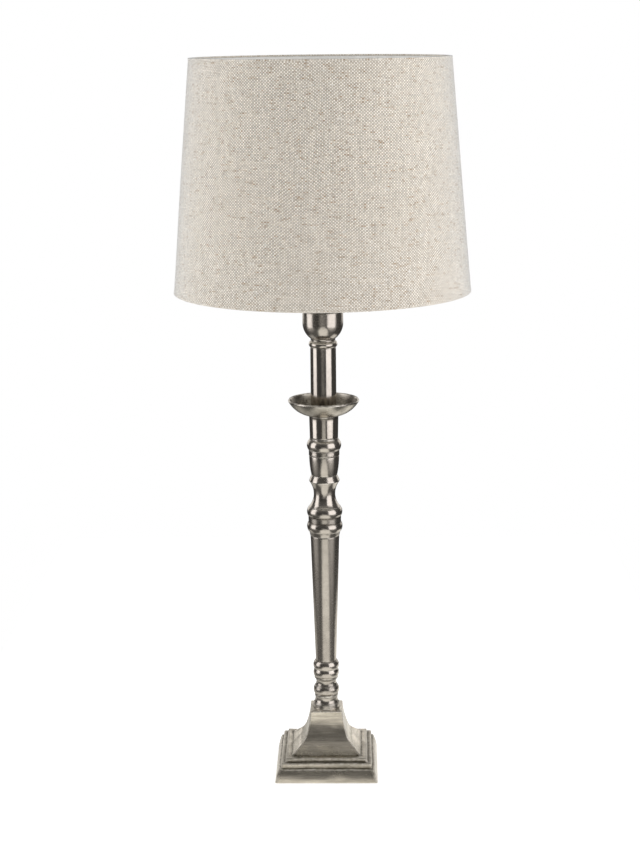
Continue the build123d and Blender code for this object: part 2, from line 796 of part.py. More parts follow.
# the bulb stands on its centre contact, with its cap's rim level with the holder's mouth
bulb_tip_bottom = holder_top - bulb_tip_height - bulb_insulator_height - bulb_cap_height
shell_radius = bulb_cap_radius + thread_gap
block_top_level = bulb_tip_bottom - centre_contact_spring
block_radius = holder_bore_radius - spigot_gap
block_floor_level = block_top_level - contact_block_floor
with BuildPart() as contact_block:
    with BuildSketch(Plane.XY.offset(holder_cap_top)):
        Circle(block_radius)
    extrude(amount=block_top_level - holder_cap_top)
    with BuildSketch(Plane.XY.offset(holder_cap_top)):
        Circle(block_radius - contact_block_skirt_wall)
        Circle(contact_block_post_radius, mode=Mode.SUBTRACT)
    extrude(amount=block_floor_level - holder_cap_top, mode=Mode.SUBTRACT)
    with BuildSketch(Plane.XY.offset(block_floor_level)):
        with GridLocations(terminal_screw_spacing, 1, 2, 1):
            Circle(terminal_screw_radius + screw_gap)
    extrude(amount=terminal_screw_length - terminal_screw_head_height, mode=Mode.SUBTRACT)
save("contact_block", contact_block)

with BuildPart() as terminal_screws:
    with BuildSketch(Plane.XY.offset(block_floor_level)):
        with GridLocations(terminal_screw_spacing, 1, 2, 1):
            Circle(terminal_screw_head_radius)
    extrude(amount=-terminal_screw_head_height)
    with BuildSketch(Plane.XY.offset(block_floor_level)):
        with GridLocations(terminal_screw_spacing, 1, 2, 1):
            Circle(terminal_screw_radius)
    extrude(amount=terminal_screw_length - terminal_screw_head_height - slip)
save("terminal_screws", terminal_screws)

with BuildPart() as thread_shell:
    with BuildSketch(Plane.XY.offset(block_top_level)):
        Circle(shell_radius + thread_shell_wall)
        Circle(shell_radius, mode=Mode.SUBTRACT)
    extrude(amount=thread_shell_height)
save("thread_shell", thread_shell)

contact_top = bulb_tip_bottom - turning_gap
with BuildPart() as centre_contact:
    with BuildSketch(Plane.XZ):
        with BuildLine():
            Polyline(
                (-centre_contact_length / 2, block_top_level),
                (centre_contact_length / 2, block_top_level),
                (centre_contact_length / 2, block_top_level + centre_contact_thickness),
                (-centre_contact_length / 2 + centre_contact_fold,
                 block_top_level + centre_contact_thickness),
                (centre_contact_reach, contact_top - centre_contact_thickness),
                (centre_contact_reach, contact_top),
                (-centre_contact_length / 2, block_top_level + 2 * centre_contact_thickness),
                close=True,
            )
        make_face()
    extrude(amount=centre_contact_width / 2, both=True)
save("centre_contact", centre_contact)

# ================================================================== shade
shade_taper = (shade_bottom_radius - shade_top_radius) / shade_height


def shade_radius(z, inset=0.0):
    """Radius of the shade at a level, measured square to the axis, less an inset."""
    return shade_bottom_radius - (z - shade_bottom) * shade_taper - inset


def cone_wall(outer_inset, inner_inset, low, high):
    """Half section of one skin of the shade."""
    with BuildSketch(Plane.XZ) as section:
        with BuildLine():
            Polyline(
                (shade_radius(low, outer_inset), low),
                (shade_radius(high, outer_inset), high),
                (shade_radius(high, inner_inset), high),
                (shade_radius(low, inner_inset), low),
                close=True,
            )
        make_face()
    return section.sketch


skin_low = shade_bottom + roll_height
skin_high = shade_top - roll_height
skin_thickness = linen_thickness + lining_thickness

with BuildPart() as shade_linen:
    add(cone_wall(0, linen_thickness, skin_low, skin_high))
    revolve(axis=Axis.Z)
save("shade_linen", shade_linen)

with BuildPart() as shade_lining:
    add(cone_wall(linen_thickness, skin_thickness, skin_low, skin_high))
    revolve(axis=Axis.Z)
save("shade_lining", shade_lining)

# the linen is rolled in at each edge of the shade, as far as the middle of the wire ring
wire_inset = skin_thickness + frame_wire_radius + spigot_gap
for roll_name, low in (("bottom_roll", shade_bottom), ("top_roll", skin_high)):
    with BuildPart() as edge_roll:
        add(cone_wall(-roll_proud, wire_inset, low, low + roll_height))
        revolve(axis=Axis.Z)
        fillet(edge_roll.edges().filter_by(GeomType.CIRCLE), radius=roll_round)
    save(roll_name, edge_roll)

top_wire_level = skin_high - frame_wire_radius
top_wire_centre = shade_radius(top_wire_level, wire_inset)
with BuildPart() as top_wire:
    with BuildSketch(Plane.XZ):
        with Locations((top_wire_centre, top_wire_level)):
            Circle(frame_wire_radius)
    revolve(axis=Axis.Z)
save("top_wire", top_wire)

# bottom frame: a wire ring, three arms and the fitter ring that sits on the lampholder
bottom_wire_level = skin_low + frame_wire_radius
bottom_wire_centre = shade_radius(bottom_wire_level, wire_inset)
with BuildPart() as bottom_wire:
    with BuildSketch(Plane.XZ):
        with Locations((bottom_wire_centre, bottom_wire_level)):
            Circle(frame_wire_radius)
    revolve(axis=Axis.Z)
save("bottom_wire", bottom_wire)

fitter_hole_radius = holder_thread_radius + turning_gap + spigot_gap
with BuildPart() as fitter_ring:
    with BuildSketch(Plane.XY.offset(fitter_bottom)):
        Circle(fitter_ring_radius)
        Circle(fitter_hole_radius, mode=Mode.SUBTRACT)
    extrude(amount=fitter_ring_thickness)
save("fitter_ring", fitter_ring)

arm_level = fitter_bottom + fitter_ring_thickness / 2
arm_start = fitter_ring_radius - fitter_arm_radius
with BuildPart() as fitter_arm:
    with BuildLine(Plane.XZ) as arm_path:
        FilletPolyline(
            (arm_start, arm_level),
            (bottom_wire_centre - fitter_arm_bend_inset, arm_level),
            (bottom_wire_centre, bottom_wire_level),
            radius=fitter_arm_bend_radius,
        )
    with BuildSketch(Plane.YZ.offset(arm_start)):
        with Locations((0, arm_level)):
            Circle(fitter_arm_radius)
    sweep(path=arm_path.wire())

# each arm is notched over the fitter ring and hollowed where it is welded to the wire
with BuildPart() as fitter_arms:
    with PolarLocations(0, fitter_arm_count, start_angle=fitter_arm_turn):
        add(fitter_arm.part)
    add(fitter_ring.part, mode=Mode.SUBTRACT)
    add(bottom_wire.part, mode=Mode.SUBTRACT)
save("fitter_arms", fitter_arms)

# ================================================================== washer and ring on the holder
ring_hole_radius = holder_thread_radius + thread_gap
ring_washer_bottom = fitter_bottom + fitter_ring_thickness + turning_gap
with BuildPart() as ring_washer:
    with BuildSketch(Plane.XY.offset(ring_washer_bottom)):
        Circle(ring_washer_radius)
        Circle(ring_hole_radius, mode=Mode.SUBTRACT)
    extrude(amount=ring_washer_thickness)
save("ring_washer", ring_washer)

clamp_ring_bottom = ring_washer_bottom + ring_washer_thickness
with BuildPart() as clamp_ring:
    with BuildSketch(Plane.XY.offset(clamp_ring_bottom)):
        Circle(clamp_ring_radius)
    extrude(amount=clamp_ring_flange_thickness)
    with BuildSketch(Plane.XY.offset(clamp_ring_bottom + clamp_ring_flange_thickness)):
        Circle(clamp_ring_body_radius)
        with PolarLocations(clamp_ring_body_radius, clamp_ring_grip_count):
            Circle(clamp_ring_grip_radius)
    extrude(amount=clamp_ring_height - clamp_ring_flange_thickness)
    with Locations((0, 0, clamp_ring_bottom)):
        Cylinder(ring_hole_radius, clamp_ring_height,
                 align=(Align.CENTER, Align.CENTER, Align.MIN), mode=Mode.SUBTRACT)
save("clamp_ring", clamp_ring)

# ================================================================== bulb
insulator_bottom, cap_bottom, cap_top = level(
    bulb_tip_bottom + bulb_tip_height, bulb_insulator_height, bulb_cap_height)
neck_level = cap_top + bulb_neck_height
housing_top = neck_level + bulb_housing_height
with BuildPart() as bulb_tip:
    with BuildSketch(Plane.XZ):
        with BuildLine():
            Line((0, bulb_tip_bottom), (0, insulator_bottom))
            Line((0, insulator_bottom), (bulb_tip_radius, insulator_bottom))
            TangentArc((0, bulb_tip_bottom), (bulb_tip_radius, insulator_bottom), tangent=(1, 0))
        make_face()
    revolve(axis=Axis.Z)
save("bulb_tip", bulb_tip)

with BuildPart() as bulb_insulator:
    with BuildSketch(Plane.XY.offset(insulator_bottom)):
        Circle(bulb_tip_radius + bulb_cap_wall)
    with BuildSketch(Plane.XY.offset(cap_bottom)):
        Circle(bulb_insulator_radius)
    loft()
save("bulb_insulator", bulb_insulator)

with BuildPart() as bulb_cap:
    with BuildSketch(Plane.XY.offset(cap_bottom)):
        Circle(bulb_cap_core_radius)
        Circle(bulb_cap_core_radius - bulb_cap_wall * 2, mode=Mode.SUBTRACT)
    extrude(amount=bulb_cap_height)
    with BuildLine() as thread_path:
        Helix(bulb_thread_pitch, bulb_thread_pitch * bulb_thread_turns,
              bulb_cap_radius - bulb_thread_round, center=(0, 0, cap_bottom + bulb_thread_start))
    with BuildSketch(Plane(origin=thread_path.line @ 0, z_dir=thread_path.line % 0)):
        Circle(bulb_thread_round)
    sweep(is_frenet=True)
save("bulb_cap", bulb_cap)

cap_bore = bulb_cap_core_radius - bulb_cap_wall * 2
board_top = housing_top - led_board_drop
board_bottom = board_top - led_board_thickness
board_seat_radius = led_board_radius + spigot_gap
with BuildPart() as bulb_housing:
    with BuildSketch(Plane.XZ):
        with BuildLine():
            Polyline((cap_bore - spigot_gap, cap_top - bulb_neck_height),
                     (cap_bore - spigot_gap, cap_top), (bulb_neck_radius, cap_top),
                     (bulb_neck_radius, neck_level))
            SagittaArc((bulb_neck_radius, neck_level), (bulb_housing_radius, housing_top),
                       bulb_housing_flare)
            Polyline((bulb_housing_radius, housing_top), (board_seat_radius, housing_top),
                     (board_seat_radius, board_bottom),
                     (board_seat_radius - led_board_ledge, board_bottom))
            SagittaArc((board_seat_radius - led_board_ledge, board_bottom),
                       (bulb_neck_radius - bulb_housing_wall, neck_level), -bulb_housing_flare)
            Polyline((bulb_neck_radius - bulb_housing_wall, neck_level),
                     (cap_bore - spigot_gap - bulb_housing_wall, cap_top),
                     (cap_bore - spigot_gap - bulb_housing_wall, cap_top - bulb_neck_height),
                     (cap_bore - spigot_gap, cap_top - bulb_neck_height))
        make_face()
    revolve(axis=Axis.Z)
save("bulb_housing", bulb_housing)

globe_centre = housing_top + math.sqrt(bulb_globe_radius ** 2 - bulb_housing_radius ** 2)
with BuildPart() as bulb_globe:
    with Locations((0, 0, globe_centre)):
        Sphere(bulb_globe_radius)
        Sphere(bulb_globe_radius - bulb_globe_wall, mode=Mode.SUBTRACT)
    split(bisect_by=Plane.XY.offset(housing_top), keep=Keep.TOP)
save("bulb_globe", bulb_globe)

with BuildPart() as led_board:
    with BuildSketch(Plane.XY.offset(board_top)):
        Circle(led_board_radius)
    extrude(amount=-led_board_thickness)
save("led_board", led_board)

with BuildPart() as driver_board:
    with BuildSketch(Plane.XY.offset(board_bottom - driver_board_height)):
        Rectangle(driver_board_width, driver_board_thickness)
    extrude(amount=driver_board_height)
save("driver_board", driver_board)
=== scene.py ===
"""A candlestick table lamp: antique nickel stem on a square stepped base, and a linen drum shade."""

import json
import math

import bmesh
import bpy
from mathutils import Matrix, Vector, kdtree, noise

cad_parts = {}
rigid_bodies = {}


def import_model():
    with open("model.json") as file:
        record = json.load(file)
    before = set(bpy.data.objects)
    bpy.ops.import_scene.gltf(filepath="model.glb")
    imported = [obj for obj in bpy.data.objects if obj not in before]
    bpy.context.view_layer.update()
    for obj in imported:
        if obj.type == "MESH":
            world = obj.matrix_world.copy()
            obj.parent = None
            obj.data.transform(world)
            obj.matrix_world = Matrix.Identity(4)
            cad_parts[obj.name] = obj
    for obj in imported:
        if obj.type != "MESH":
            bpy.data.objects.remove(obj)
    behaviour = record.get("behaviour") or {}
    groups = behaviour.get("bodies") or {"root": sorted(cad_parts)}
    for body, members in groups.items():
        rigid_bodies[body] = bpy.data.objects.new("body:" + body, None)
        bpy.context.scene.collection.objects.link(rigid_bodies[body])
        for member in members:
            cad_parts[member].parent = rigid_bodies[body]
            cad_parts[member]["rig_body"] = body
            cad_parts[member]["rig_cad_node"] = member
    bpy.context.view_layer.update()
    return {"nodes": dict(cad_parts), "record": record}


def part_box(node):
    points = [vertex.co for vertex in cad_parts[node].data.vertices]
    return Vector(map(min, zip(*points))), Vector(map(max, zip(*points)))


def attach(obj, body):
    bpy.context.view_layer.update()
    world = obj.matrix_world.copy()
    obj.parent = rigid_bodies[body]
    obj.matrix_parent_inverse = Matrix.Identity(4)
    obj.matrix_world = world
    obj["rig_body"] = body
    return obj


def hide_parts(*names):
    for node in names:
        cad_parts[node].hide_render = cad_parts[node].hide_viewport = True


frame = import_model()
nodes = frame["nodes"]

MM = 0.001
HAIR = 0.001 * MM
WELD = 0.002 * MM
TURN = 2 * math.pi

# ---------------------------------------------------------------- bench tools


def take(*pieces):
    """Selects these pieces and nothing else; the last is the active one."""
    bpy.ops.object.select_all(action="DESELECT")
    for piece in pieces:
        piece.select_set(True)
        bpy.context.view_layer.objects.active = piece


def open_up(piece, kind="VERT"):
    """Goes into edit mode on one piece."""
    take(piece)
    bpy.ops.object.mode_set(mode="EDIT")
    bpy.ops.mesh.select_mode(type=kind)


def close_up():
    """Leaves edit mode."""
    bpy.ops.object.mode_set(mode="OBJECT")


def pick(piece, kind, wanted):
    """Selects the points, edges or faces of the open piece that pass the test, and counts them."""
    bpy.ops.mesh.select_mode(type=kind)
    bpy.ops.mesh.select_all(action="DESELECT")
    mesh = bmesh.from_edit_mesh(piece.data)
    parts = {"VERT": mesh.verts, "EDGE": mesh.edges, "FACE": mesh.faces}[kind]
    count = 0
    for part in parts:
        if wanted(part):
            part.select_set(True)
            count += 1
    mesh.select_flush_mode()
    bmesh.update_edit_mesh(piece.data)
    return count


def named(name, body, slot, *stood_for):
    """Names the piece just made, puts it on the body that carries it, and hides the CAD nodes it stands
    for.
    """
    piece = bpy.context.object
    piece.name = name
    piece.data.name = name
    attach(piece, body)
    if stood_for:
        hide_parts(*stood_for)
    return piece


def settle(piece):
    """Puts the piece's place, turn and size into its mesh."""
    take(piece)
    bpy.ops.object.transform_apply(location=True, rotation=True, scale=True)


def finish_with(piece, kind, **settings):
    """Adds one modifier and applies it."""
    take(piece)
    modifier = piece.modifiers.new(kind.title(), kind)
    for setting, value in settings.items():
        setattr(modifier, setting, value)
    bpy.ops.object.modifier_apply(modifier=modifier.name)


def ease(piece, width, segments, degrees):
    """Rounds the edges that are sharper than an angle; the width is in millimetres."""
    finish_with(piece, "BEVEL", width=width * MM, segments=segments, limit_method="ANGLE",
                angle_limit=math.radians(degrees))


def smooth(piece, degrees=32):
    """Shades a piece smooth, except across edges sharper than an angle."""
    take(piece)
    bpy.ops.object.shade_smooth_by_angle(angle=math.radians(degrees))


def coat(piece, material):
    """Gives a piece one material."""
    piece.data.materials.clear()
    piece.data.materials.append(material)


# ---------------------------------------------------------------- turned work

# angles in degrees by which a section turns: in a straight run, and from where it is a corner
STRAIGHT, CORNER = 0.5, 14


def section_of(node):
    """Half of a CAD node's section, as one closed loop of edges in the plane y = 0."""
    take(nodes[node])
    bpy.ops.object.duplicate()
    piece = bpy.context.object
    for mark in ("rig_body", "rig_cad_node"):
        del piece[mark]
    piece.parent = None
    bpy.ops.mesh.customdata_custom_splitnormals_clear()
    open_up(piece)
    bpy.ops.mesh.select_all(action="SELECT")
    bpy.ops.mesh.remove_doubles(threshold=WELD)
    bpy.ops.mesh.select_all(action="SELECT")
    bpy.ops.mesh.bisect(plane_co=(0, 0, 0), plane_no=(0, 1, 0), clear_inner=True, clear_outer=True)
    bpy.ops.mesh.select_all(action="SELECT")
    bpy.ops.mesh.bisect(plane_co=(0, 0, 0), plane_no=(1, 0, 0), clear_inner=True)
    bpy.ops.mesh.select_all(action="SELECT")
    bpy.ops.mesh.remove_doubles(threshold=WELD)
    pick(piece, "EDGE", lambda e: max(v.co.x for v in e.verts) < HAIR)
    bpy.ops.mesh.delete(type="EDGE")
    return piece


def bend_at(vert):
    """The angle by which a loop of edges turns at a point, in degrees."""
    if len(vert.link_edges) != 2:
        return 0
    ways = [edge.other_vert(vert).co - vert.co for edge in vert.link_edges]
    return 180 - math.degrees(ways[0].angle(ways[1]))


def turned(name, body, slot, node, steps=128, corner=0.25, longest=1.6):
    """A round piece, turned again from its CAD node's section; corner and longest are in millimetres."""
    off_axis, same_place = 0.5 * MM, 0.01 * MM
    piece = section_of(node)
    bpy.ops.mesh.select_all(action="SELECT")
    bpy.ops.mesh.edge_face_add()
    pick(piece, "VERT", lambda v: len(v.link_edges) == 2 and bend_at(v) < STRAIGHT)
    bpy.ops.mesh.dissolve_verts()
    mesh = bmesh.from_edit_mesh(piece.data)
    corners = [v.co.copy() for v in mesh.verts if v.co.x > off_axis and bend_at(v) > CORNER]
    for place in corners:
        if pick(piece, "VERT", lambda v: (v.co - place).length < same_place):
            bpy.ops.mesh.bevel(offset=corner * MM, segments=3, affect="VERTICES")
    bpy.ops.mesh.select_all(action="SELECT")
    bpy.ops.mesh.delete(type="ONLY_FACE")
    pick(piece, "EDGE", lambda e: max(v.co.x for v in e.verts) < HAIR)
    bpy.ops.mesh.delete(type="EDGE")
    mesh = bmesh.from_edit_mesh(piece.data)
    most = max(int(edge.calc_length() / (longest * MM)) for edge in mesh.edges)
    for cuts in range(most, 0, -1):
        if pick(piece, "EDGE", lambda e: int(e.calc_length() / (longest * MM)) == cuts):
            bpy.ops.mesh.subdivide(number_cuts=cuts)
    bpy.ops.mesh.select_mode(type="VERT")
    bpy.ops.mesh.select_all(action="SELECT")
    bpy.ops.mesh.spin(steps=steps, angle=TURN, center=(0, 0, 0), axis=(0, 0, 1), use_auto_merge=True)
    bpy.ops.mesh.select_all(action="SELECT")
    bpy.ops.mesh.remove_doubles(threshold=WELD)
    bpy.ops.mesh.normals_make_consistent(inside=False)
    close_up()
    take(piece)
    named(name, body, slot, node)
    smooth(piece)
    return piece


def mark_wear(piece, reach=1.3, grime=0.0, joints=True, painted_shade=lambda vert: 0.0):
    """Marks how near each point is to a proud edge, how much dirt a hollow or a joint keeps there, and any
    painted shade a piece is given, in the same hollow mask.
    """
    crease = math.radians(9)
    grime_width, joint_line = 4, 0.45
    mesh = bmesh.new()
    mesh.from_mesh(piece.data)
    mesh.normal_update()
    far_off = Vector((9, 9, 9))
    trees = []
    for way in (1, -1):
        places = []
        for edge in mesh.edges:
            if len(edge.link_faces) == 2 and way * edge.calc_face_angle_signed(0) > crease:
                places += [edge.verts[0].co, edge.verts[1].co]
        places = places or [far_off]
        tree = kdtree.KDTree(len(places))
        for index, place in enumerate(places):
            tree.insert(place, index)
        tree.balance()
        trees.append(tree)
    low = min(v.co.z for v in mesh.verts)
    high = max(v.co.z for v in mesh.verts)
    masks = {"proud": [], "hollow": []}
    for vert in mesh.verts:
        near = [tree.find(vert.co)[2] / MM for tree in trees]
        end = min(vert.co.z - low, high - vert.co.z) / MM
        masks["proud"].append(math.exp(-(near[0] / (0.6 * reach)) ** 2))
        grimy = grime * math.exp(-(near[1] / grime_width) ** 2)
        # dirt from concave edges and grime, or painted shade where a piece is given it
        dirt_and_shade = max(math.exp(-(near[1] / reach) ** 2), grimy, painted_shade(vert))
        masks["hollow"].append(max(dirt_and_shade, math.exp(-(end / joint_line) ** 2)) if joints else dirt_and_shade)
    mesh.free()
    for mask, values in masks.items():
        layer = piece.data.attributes.new(mask, "FLOAT", "POINT")
        layer.data.foreach_set("value", values)


# ---------------------------------------------------------------- node tools


def add(tree, kind, inputs=None, **settings):
    """Adds a node, with its settings and what goes into its sockets."""
    made = tree.nodes.new("ShaderNode" + kind)
    for setting, value in settings.items():
        setattr(made, setting, value)
    for socket, value in (inputs or {}).items():
        if isinstance(value, bpy.types.NodeSocket):
            tree.links.new(value, made.inputs[socket])
        else:
            made.inputs[socket].default_value = value
    return made


def sum_up(tree, operation, first, second=0.0, third=0.0, clamp=False):
    """One Math node's value."""
    made = add(tree, "Math", {0: first, 1: second, 2: third}, operation=operation, use_clamp=clamp)
    return made.outputs[0]


def spread(tree, value, low, high, to_low=0.0, to_high=1.0, kind="SMOOTHSTEP"):
    """A value stretched from one range to another."""
    inputs = {0: value, 1: low, 2: high, 3: to_low, 4: to_high}
    return add(tree, "MapRange", inputs, interpolation_type=kind).outputs[0]


def blend_colour(tree, share, first, second, way="MIX"):
    """Two colours mixed by a share."""
    made = add(tree, "Mix", {0: share, 6: first, 7: second}, data_type="RGBA", blend_type=way)
    return made.outputs[2]


def cloud(tree, place, scale, detail, rough):
    """Noise from about 0.3 to 0.7; the scale is in waves per metre."""
    made = add(tree, "TexNoise", {"Vector": place, "Scale": scale, "Detail": detail, "Roughness": rough})
    return made.outputs[0]


def stretched(tree, place, size):
    """A place whose axes are drawn out by different amounts."""
    return add(tree, "Mapping", {"Vector": place, "Scale": size}).outputs[0]


def new_group(name, takes, gives):
    """A shader node group with named sockets. Returns its tree, its input node and its output node."""
    tree = bpy.data.node_groups.new(name, "ShaderNodeTree")
    kinds = {"value": "NodeSocketFloat", "colour": "NodeSocketColor", "vector": "NodeSocketVector"}
    for socket, (kind, value) in takes.items():
        made = tree.interface.new_socket(socket, in_out="INPUT", socket_type=kinds[kind])
        made.default_value = value
    for socket, kind in gives.items():
        tree.interface.new_socket(socket, in_out="OUTPUT", socket_type=kinds[kind])
    entry = tree.nodes.new("NodeGroupInput")
    leaving = tree.nodes.new("NodeGroupOutput")
    return tree, entry.outputs, leaving.inputs


def fill_group(tree, group, inputs):
    """Puts a node group into a material, with this material's own values."""
    return add(tree, "Group", inputs, node_tree=group)


def feed(tree, shader, effect):
    """Takes a material's colour and roughness from an effect."""
    tree.links.new(effect.outputs["Color"], shader.inputs["Base Color"])
    tree.links.new(effect.outputs["Roughness"], shader.inputs["Roughness"])


def new_material(name, **plain):
    """A material whose plain sockets are set here. Returns it, its tree and its Principled shader."""
    made = bpy.data.materials.new(name)
    made.use_nodes = True
    tree = made.node_tree
    shader = tree.nodes["Principled BSDF"]
    for socket, value in plain.items():
        shader.inputs[socket.replace("_", " ")].default_value = value
    return made, tree, shader


def relief(tree, shader, height, depth, below=None):
    """Feeds a height, in metres when it is 1, to the shader's normal."""
    inputs = {"Height": height, "Distance": depth, "Strength": 1.0}
    if below is not None:
        inputs["Normal"] = below
    bump = add(tree, "Bump", inputs)
    tree.links.new(bump.outputs[0], shader.inputs["Normal"])
    return bump.outputs[0]


# ---------------------------------------------------------------- shared effects

WHITE = (1, 1, 1, 1)
BLACK = (0, 0, 0, 1)


def make_tarnish():
    """Old plate: cloudy tone, specks, dark hollows and bright worn edges; the dark hollows carry painted
    shade too where a piece's hollow mask holds it.
    """
    tree, given, out = new_group(
        "old plate",
        {
            "Metal": ("colour", WHITE), "Tarnish": ("colour", BLACK), "Worn": ("colour", WHITE),
            "Cloud Size": ("value", 40.0), "Cloudiness": ("value", 0.5), "Specks": ("value", 0.5),
            "Hollows": ("value", 0.9), "Edges": ("value", 0.8), "Polish": ("value", 0.2),
            "Edge Dullness": ("value", -0.06), "Grain Size": ("vector", (900, 900, 900)),
        },
        {"Color": "colour", "Roughness": "value", "Height": "value"},
    )
    place = add(tree, "TexCoord").outputs["Object"]
    proud = add(tree, "Attribute", attribute_name="proud").outputs["Fac"]
    hollow = add(tree, "Attribute", attribute_name="hollow").outputs["Fac"]
    broad = spread(tree, cloud(tree, place, given["Cloud Size"], 5, 0.6), 0.42, 0.66)
    drawn = add(tree, "VectorMath", {0: place, 1: given["Grain Size"]}, operation="MULTIPLY").outputs[0]
    fine = spread(tree, cloud(tree, drawn, 1.0, 3, 0.7), 0.40, 0.72)
    specks = spread(tree, cloud(tree, drawn, 0.7, 2, 0.5), 0.66, 0.74)
    patch = spread(tree, cloud(tree, place, 55, 2, 0.5), 0.45, 0.62)
    specks = sum_up(tree, "MULTIPLY", sum_up(tree, "MULTIPLY", specks, patch), given["Specks"])
    mist = sum_up(tree, "MULTIPLY", sum_up(tree, "MULTIPLY_ADD", fine, 0.35, broad), given["Cloudiness"])
    # the hollow mask darkens the plate: dirt in hollows and joints, and painted shade inside the drip pan
    ragged = sum_up(tree, "MULTIPLY", hollow, spread(tree, fine, 0, 1, 0.75, 1.1))
    dirt_and_shade = sum_up(tree, "MULTIPLY", ragged, given["Hollows"], clamp=True)
    dark = sum_up(tree, "ADD", sum_up(tree, "ADD", mist, specks), dirt_and_shade, clamp=True)
    patchy = spread(tree, cloud(tree, place, 260, 3, 0.6), 0.36, 0.62, 0.25, 1.0)
    rub = sum_up(tree, "MULTIPLY", proud, patchy)
    rub = sum_up(tree, "MULTIPLY", rub, given["Edges"], clamp=True)
    tone = blend_colour(tree, dark, given["Metal"], given["Tarnish"])
    tree.links.new(blend_colour(tree, rub, tone, given["Worn"]), out["Color"])
    dull = sum_up(tree, "MULTIPLY_ADD", dark, 0.22, given["Polish"])
    dull = sum_up(tree, "MULTIPLY_ADD", fine, 0.05, dull)
    tree.links.new(sum_up(tree, "MULTIPLY_ADD", rub, given["Edge Dullness"], dull), out["Roughness"])
    pits = sum_up(tree, "MULTIPLY_ADD", specks, -0.6, sum_up(tree, "MULTIPLY", fine, 0.12))
    tree.links.new(sum_up(tree, "MULTIPLY_ADD", dirt_and_shade, 0.25, pits), out["Height"])
    return tree


def make_lathe_lines():
    """Fine rings left by the lathe and the buffing wheel."""
    tree, given, out = new_group(
        "lathe lines", {"Pitch": ("value", 1500.0)}, {"Height": "value"})
    place = add(tree, "TexCoord").outputs["Object"]
    flat = stretched(tree, place, (18, 18, 1000))
    rings = cloud(tree, flat, sum_up(tree, "DIVIDE", given["Pitch"], 1000.0), 3, 0.7)
    tree.links.new(rings, out["Height"])
    return tree


def make_brushing():
    """Streaks left by a wire brush, drawn out along one axis."""
    tree, given, out = new_group(
        "brushing", {"Across": ("vector", (1, 1, 1))}, {"Streaks": "value", "Height": "value"})
    place = add(tree, "TexCoord").outputs["Object"]
    drawn = add(tree, "VectorMath", {0: place, 1: given["Across"]}, operation="MULTIPLY").outputs[0]
    fine = cloud(tree, drawn, 1.0, 4, 0.65)
    coarse = cloud(tree, drawn, 0.28, 3, 0.6)
    both = sum_up(tree, "MULTIPLY_ADD", coarse, 0.6, sum_up(tree, "MULTIPLY", fine, 0.4))
    tree.links.new(spread(tree, both, 0.40, 0.62), out["Streaks"])
    tree.links.new(fine, out["Height"])
    return tree


